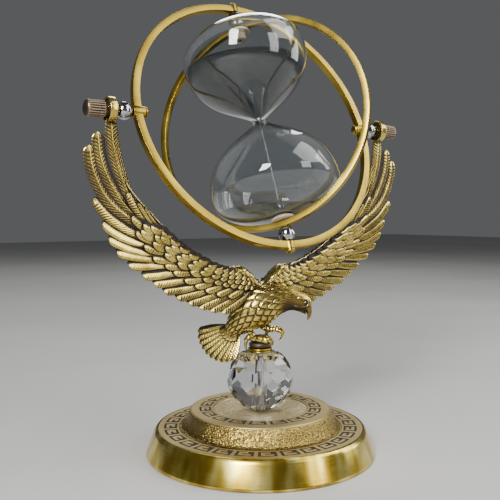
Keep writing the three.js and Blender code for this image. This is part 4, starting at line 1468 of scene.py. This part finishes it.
def inner_gimbal():
    """The inner hoop, the glass and all that it holds."""
    inner_ring()
    glass()
    # The upper bulb takes the darker painted copy of the sand, the lower bulb the lighter one.
    sand_body("sand_in_upper_bulb", "sand_upper", "sand", 1.0, UPPER_LEVEL, [(0.3, 1.0)])
    low = -GLASS_S - (END_SIDE - SAND_INSET) * 0.965
    over_stub = 0.3 - STUB_END
    floor = [(0.05, over_stub), (5.9, over_stub), (6.2, low)]
    sand_body("sand_in_lower_bulb", "sand_lower", "lit_sand_heap", low, LOWER_LEVEL, floor)
    falling_sand()
    plug("top")
    plug("bottom")


def carried_over():
    """CAD nodes whose shape is right keep it and get a finish."""
    looks = {"felt_pad": "felt", "base_washer": "steel", "base_nut": "steel", "wing_pin_left": "steel",
             "wing_pin_right": "steel", "washer_inner_left": "brushed_brass",
             "washer_outer_left": "brushed_brass", "washer_inner_right": "brushed_brass",
             "washer_outer_right": "brushed_brass"}
    for node, look in looks.items():
        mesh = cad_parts[node].data
        mesh.materials.clear()
        mesh.materials.append(LOOK[look])


# ---------------------------------------------------------------- studio
# Place, aim, size and power of each lamp
LAMPS = {
    "key": ((-0.85, -0.65, 0.75), (0, 0, 0.15), (0.28, 0.56), 28),
    "fill": ((0.45, -1.05, 0.55), (0, 0, 0.12), (0.35, 0.8), 5),
    "side": ((1.1, -0.35, 0.6), (0, 0, 0.15), (0.45, 0.9), 6),
    "back": ((0.75, 1.15, 1.5), (0, 0, 0.05), (1.0, 0.6), 12),
    "window": ((0.62, -0.52, 1.02), (0, 0, 0.2), (0.75, 0.75), 7),
}


def studio():
    """A pale floor, an even dim sky and five soft lamps."""
    floor = bpy.data.meshes.new("floor")
    work = bmesh.new()
    bmesh.ops.create_grid(work, x_segments=8, y_segments=8, size=4)
    work.to_mesh(floor)
    work.free()
    ground = add_object("floor", floor)
    n = Nodes("floor")
    colour = n.blend(n.noise(3, 4), 0.3, 0.7, (0.42, 0.415, 0.405), (0.48, 0.475, 0.46))
    floor.materials.append(n.done(Base_Color=colour, Roughness=0.7))

    world = bpy.data.worlds.new("studio")
    world.use_nodes = True
    sky = world.node_tree.nodes["Background"]
    sky.inputs["Color"].default_value = (0.80, 0.82, 0.85, 1)
    sky.inputs["Strength"].default_value = 0.13
    bpy.context.scene.world = world

    for name, (place, aim, size, power) in LAMPS.items():
        light = bpy.data.lights.new(name, "AREA")
        light.shape = "RECTANGLE"
        light.size, light.size_y = size
        light.energy = power
        lamp = add_object(name, light)
        lamp.location = place
        lamp.rotation_mode = "QUATERNION"
        lamp.rotation_quaternion = (Vector(aim) - Vector(place)).to_track_quat("-Z", "Y")


def camera():
    """Placed from the fitted view of the object's own dimensions."""
    data = bpy.data.cameras.new("camera")
    data.lens = 51.0
    data.sensor_width = 36.0
    data.clip_start = 0.01
    viewer = add_object("camera", data)
    ahead = Vector((0.53797, 0.84150, -0.04962))
    right = Vector((0.84248, -0.53872, -0.00224))
    over = right.cross(ahead)
    turn = Matrix((right, over, -ahead)).transposed()
    viewer.matrix_world = Matrix.Translation((-0.27288, -0.41391, 0.16668)) @ turn.to_4x4()
    bpy.context.scene.camera = viewer


camera()
studio()
base_rim()
base_step()
base_crown()
base_tier()
base_dish()
threaded_rod()
crystal_ball()
collar()
perch()
eagle()
wing(-1, "wing_of_feathers_left", "wing_left")
wing(1, "wing_of_feathers_right", "wing_right")
outer_gimbal()
inner_gimbal()
carried_over()
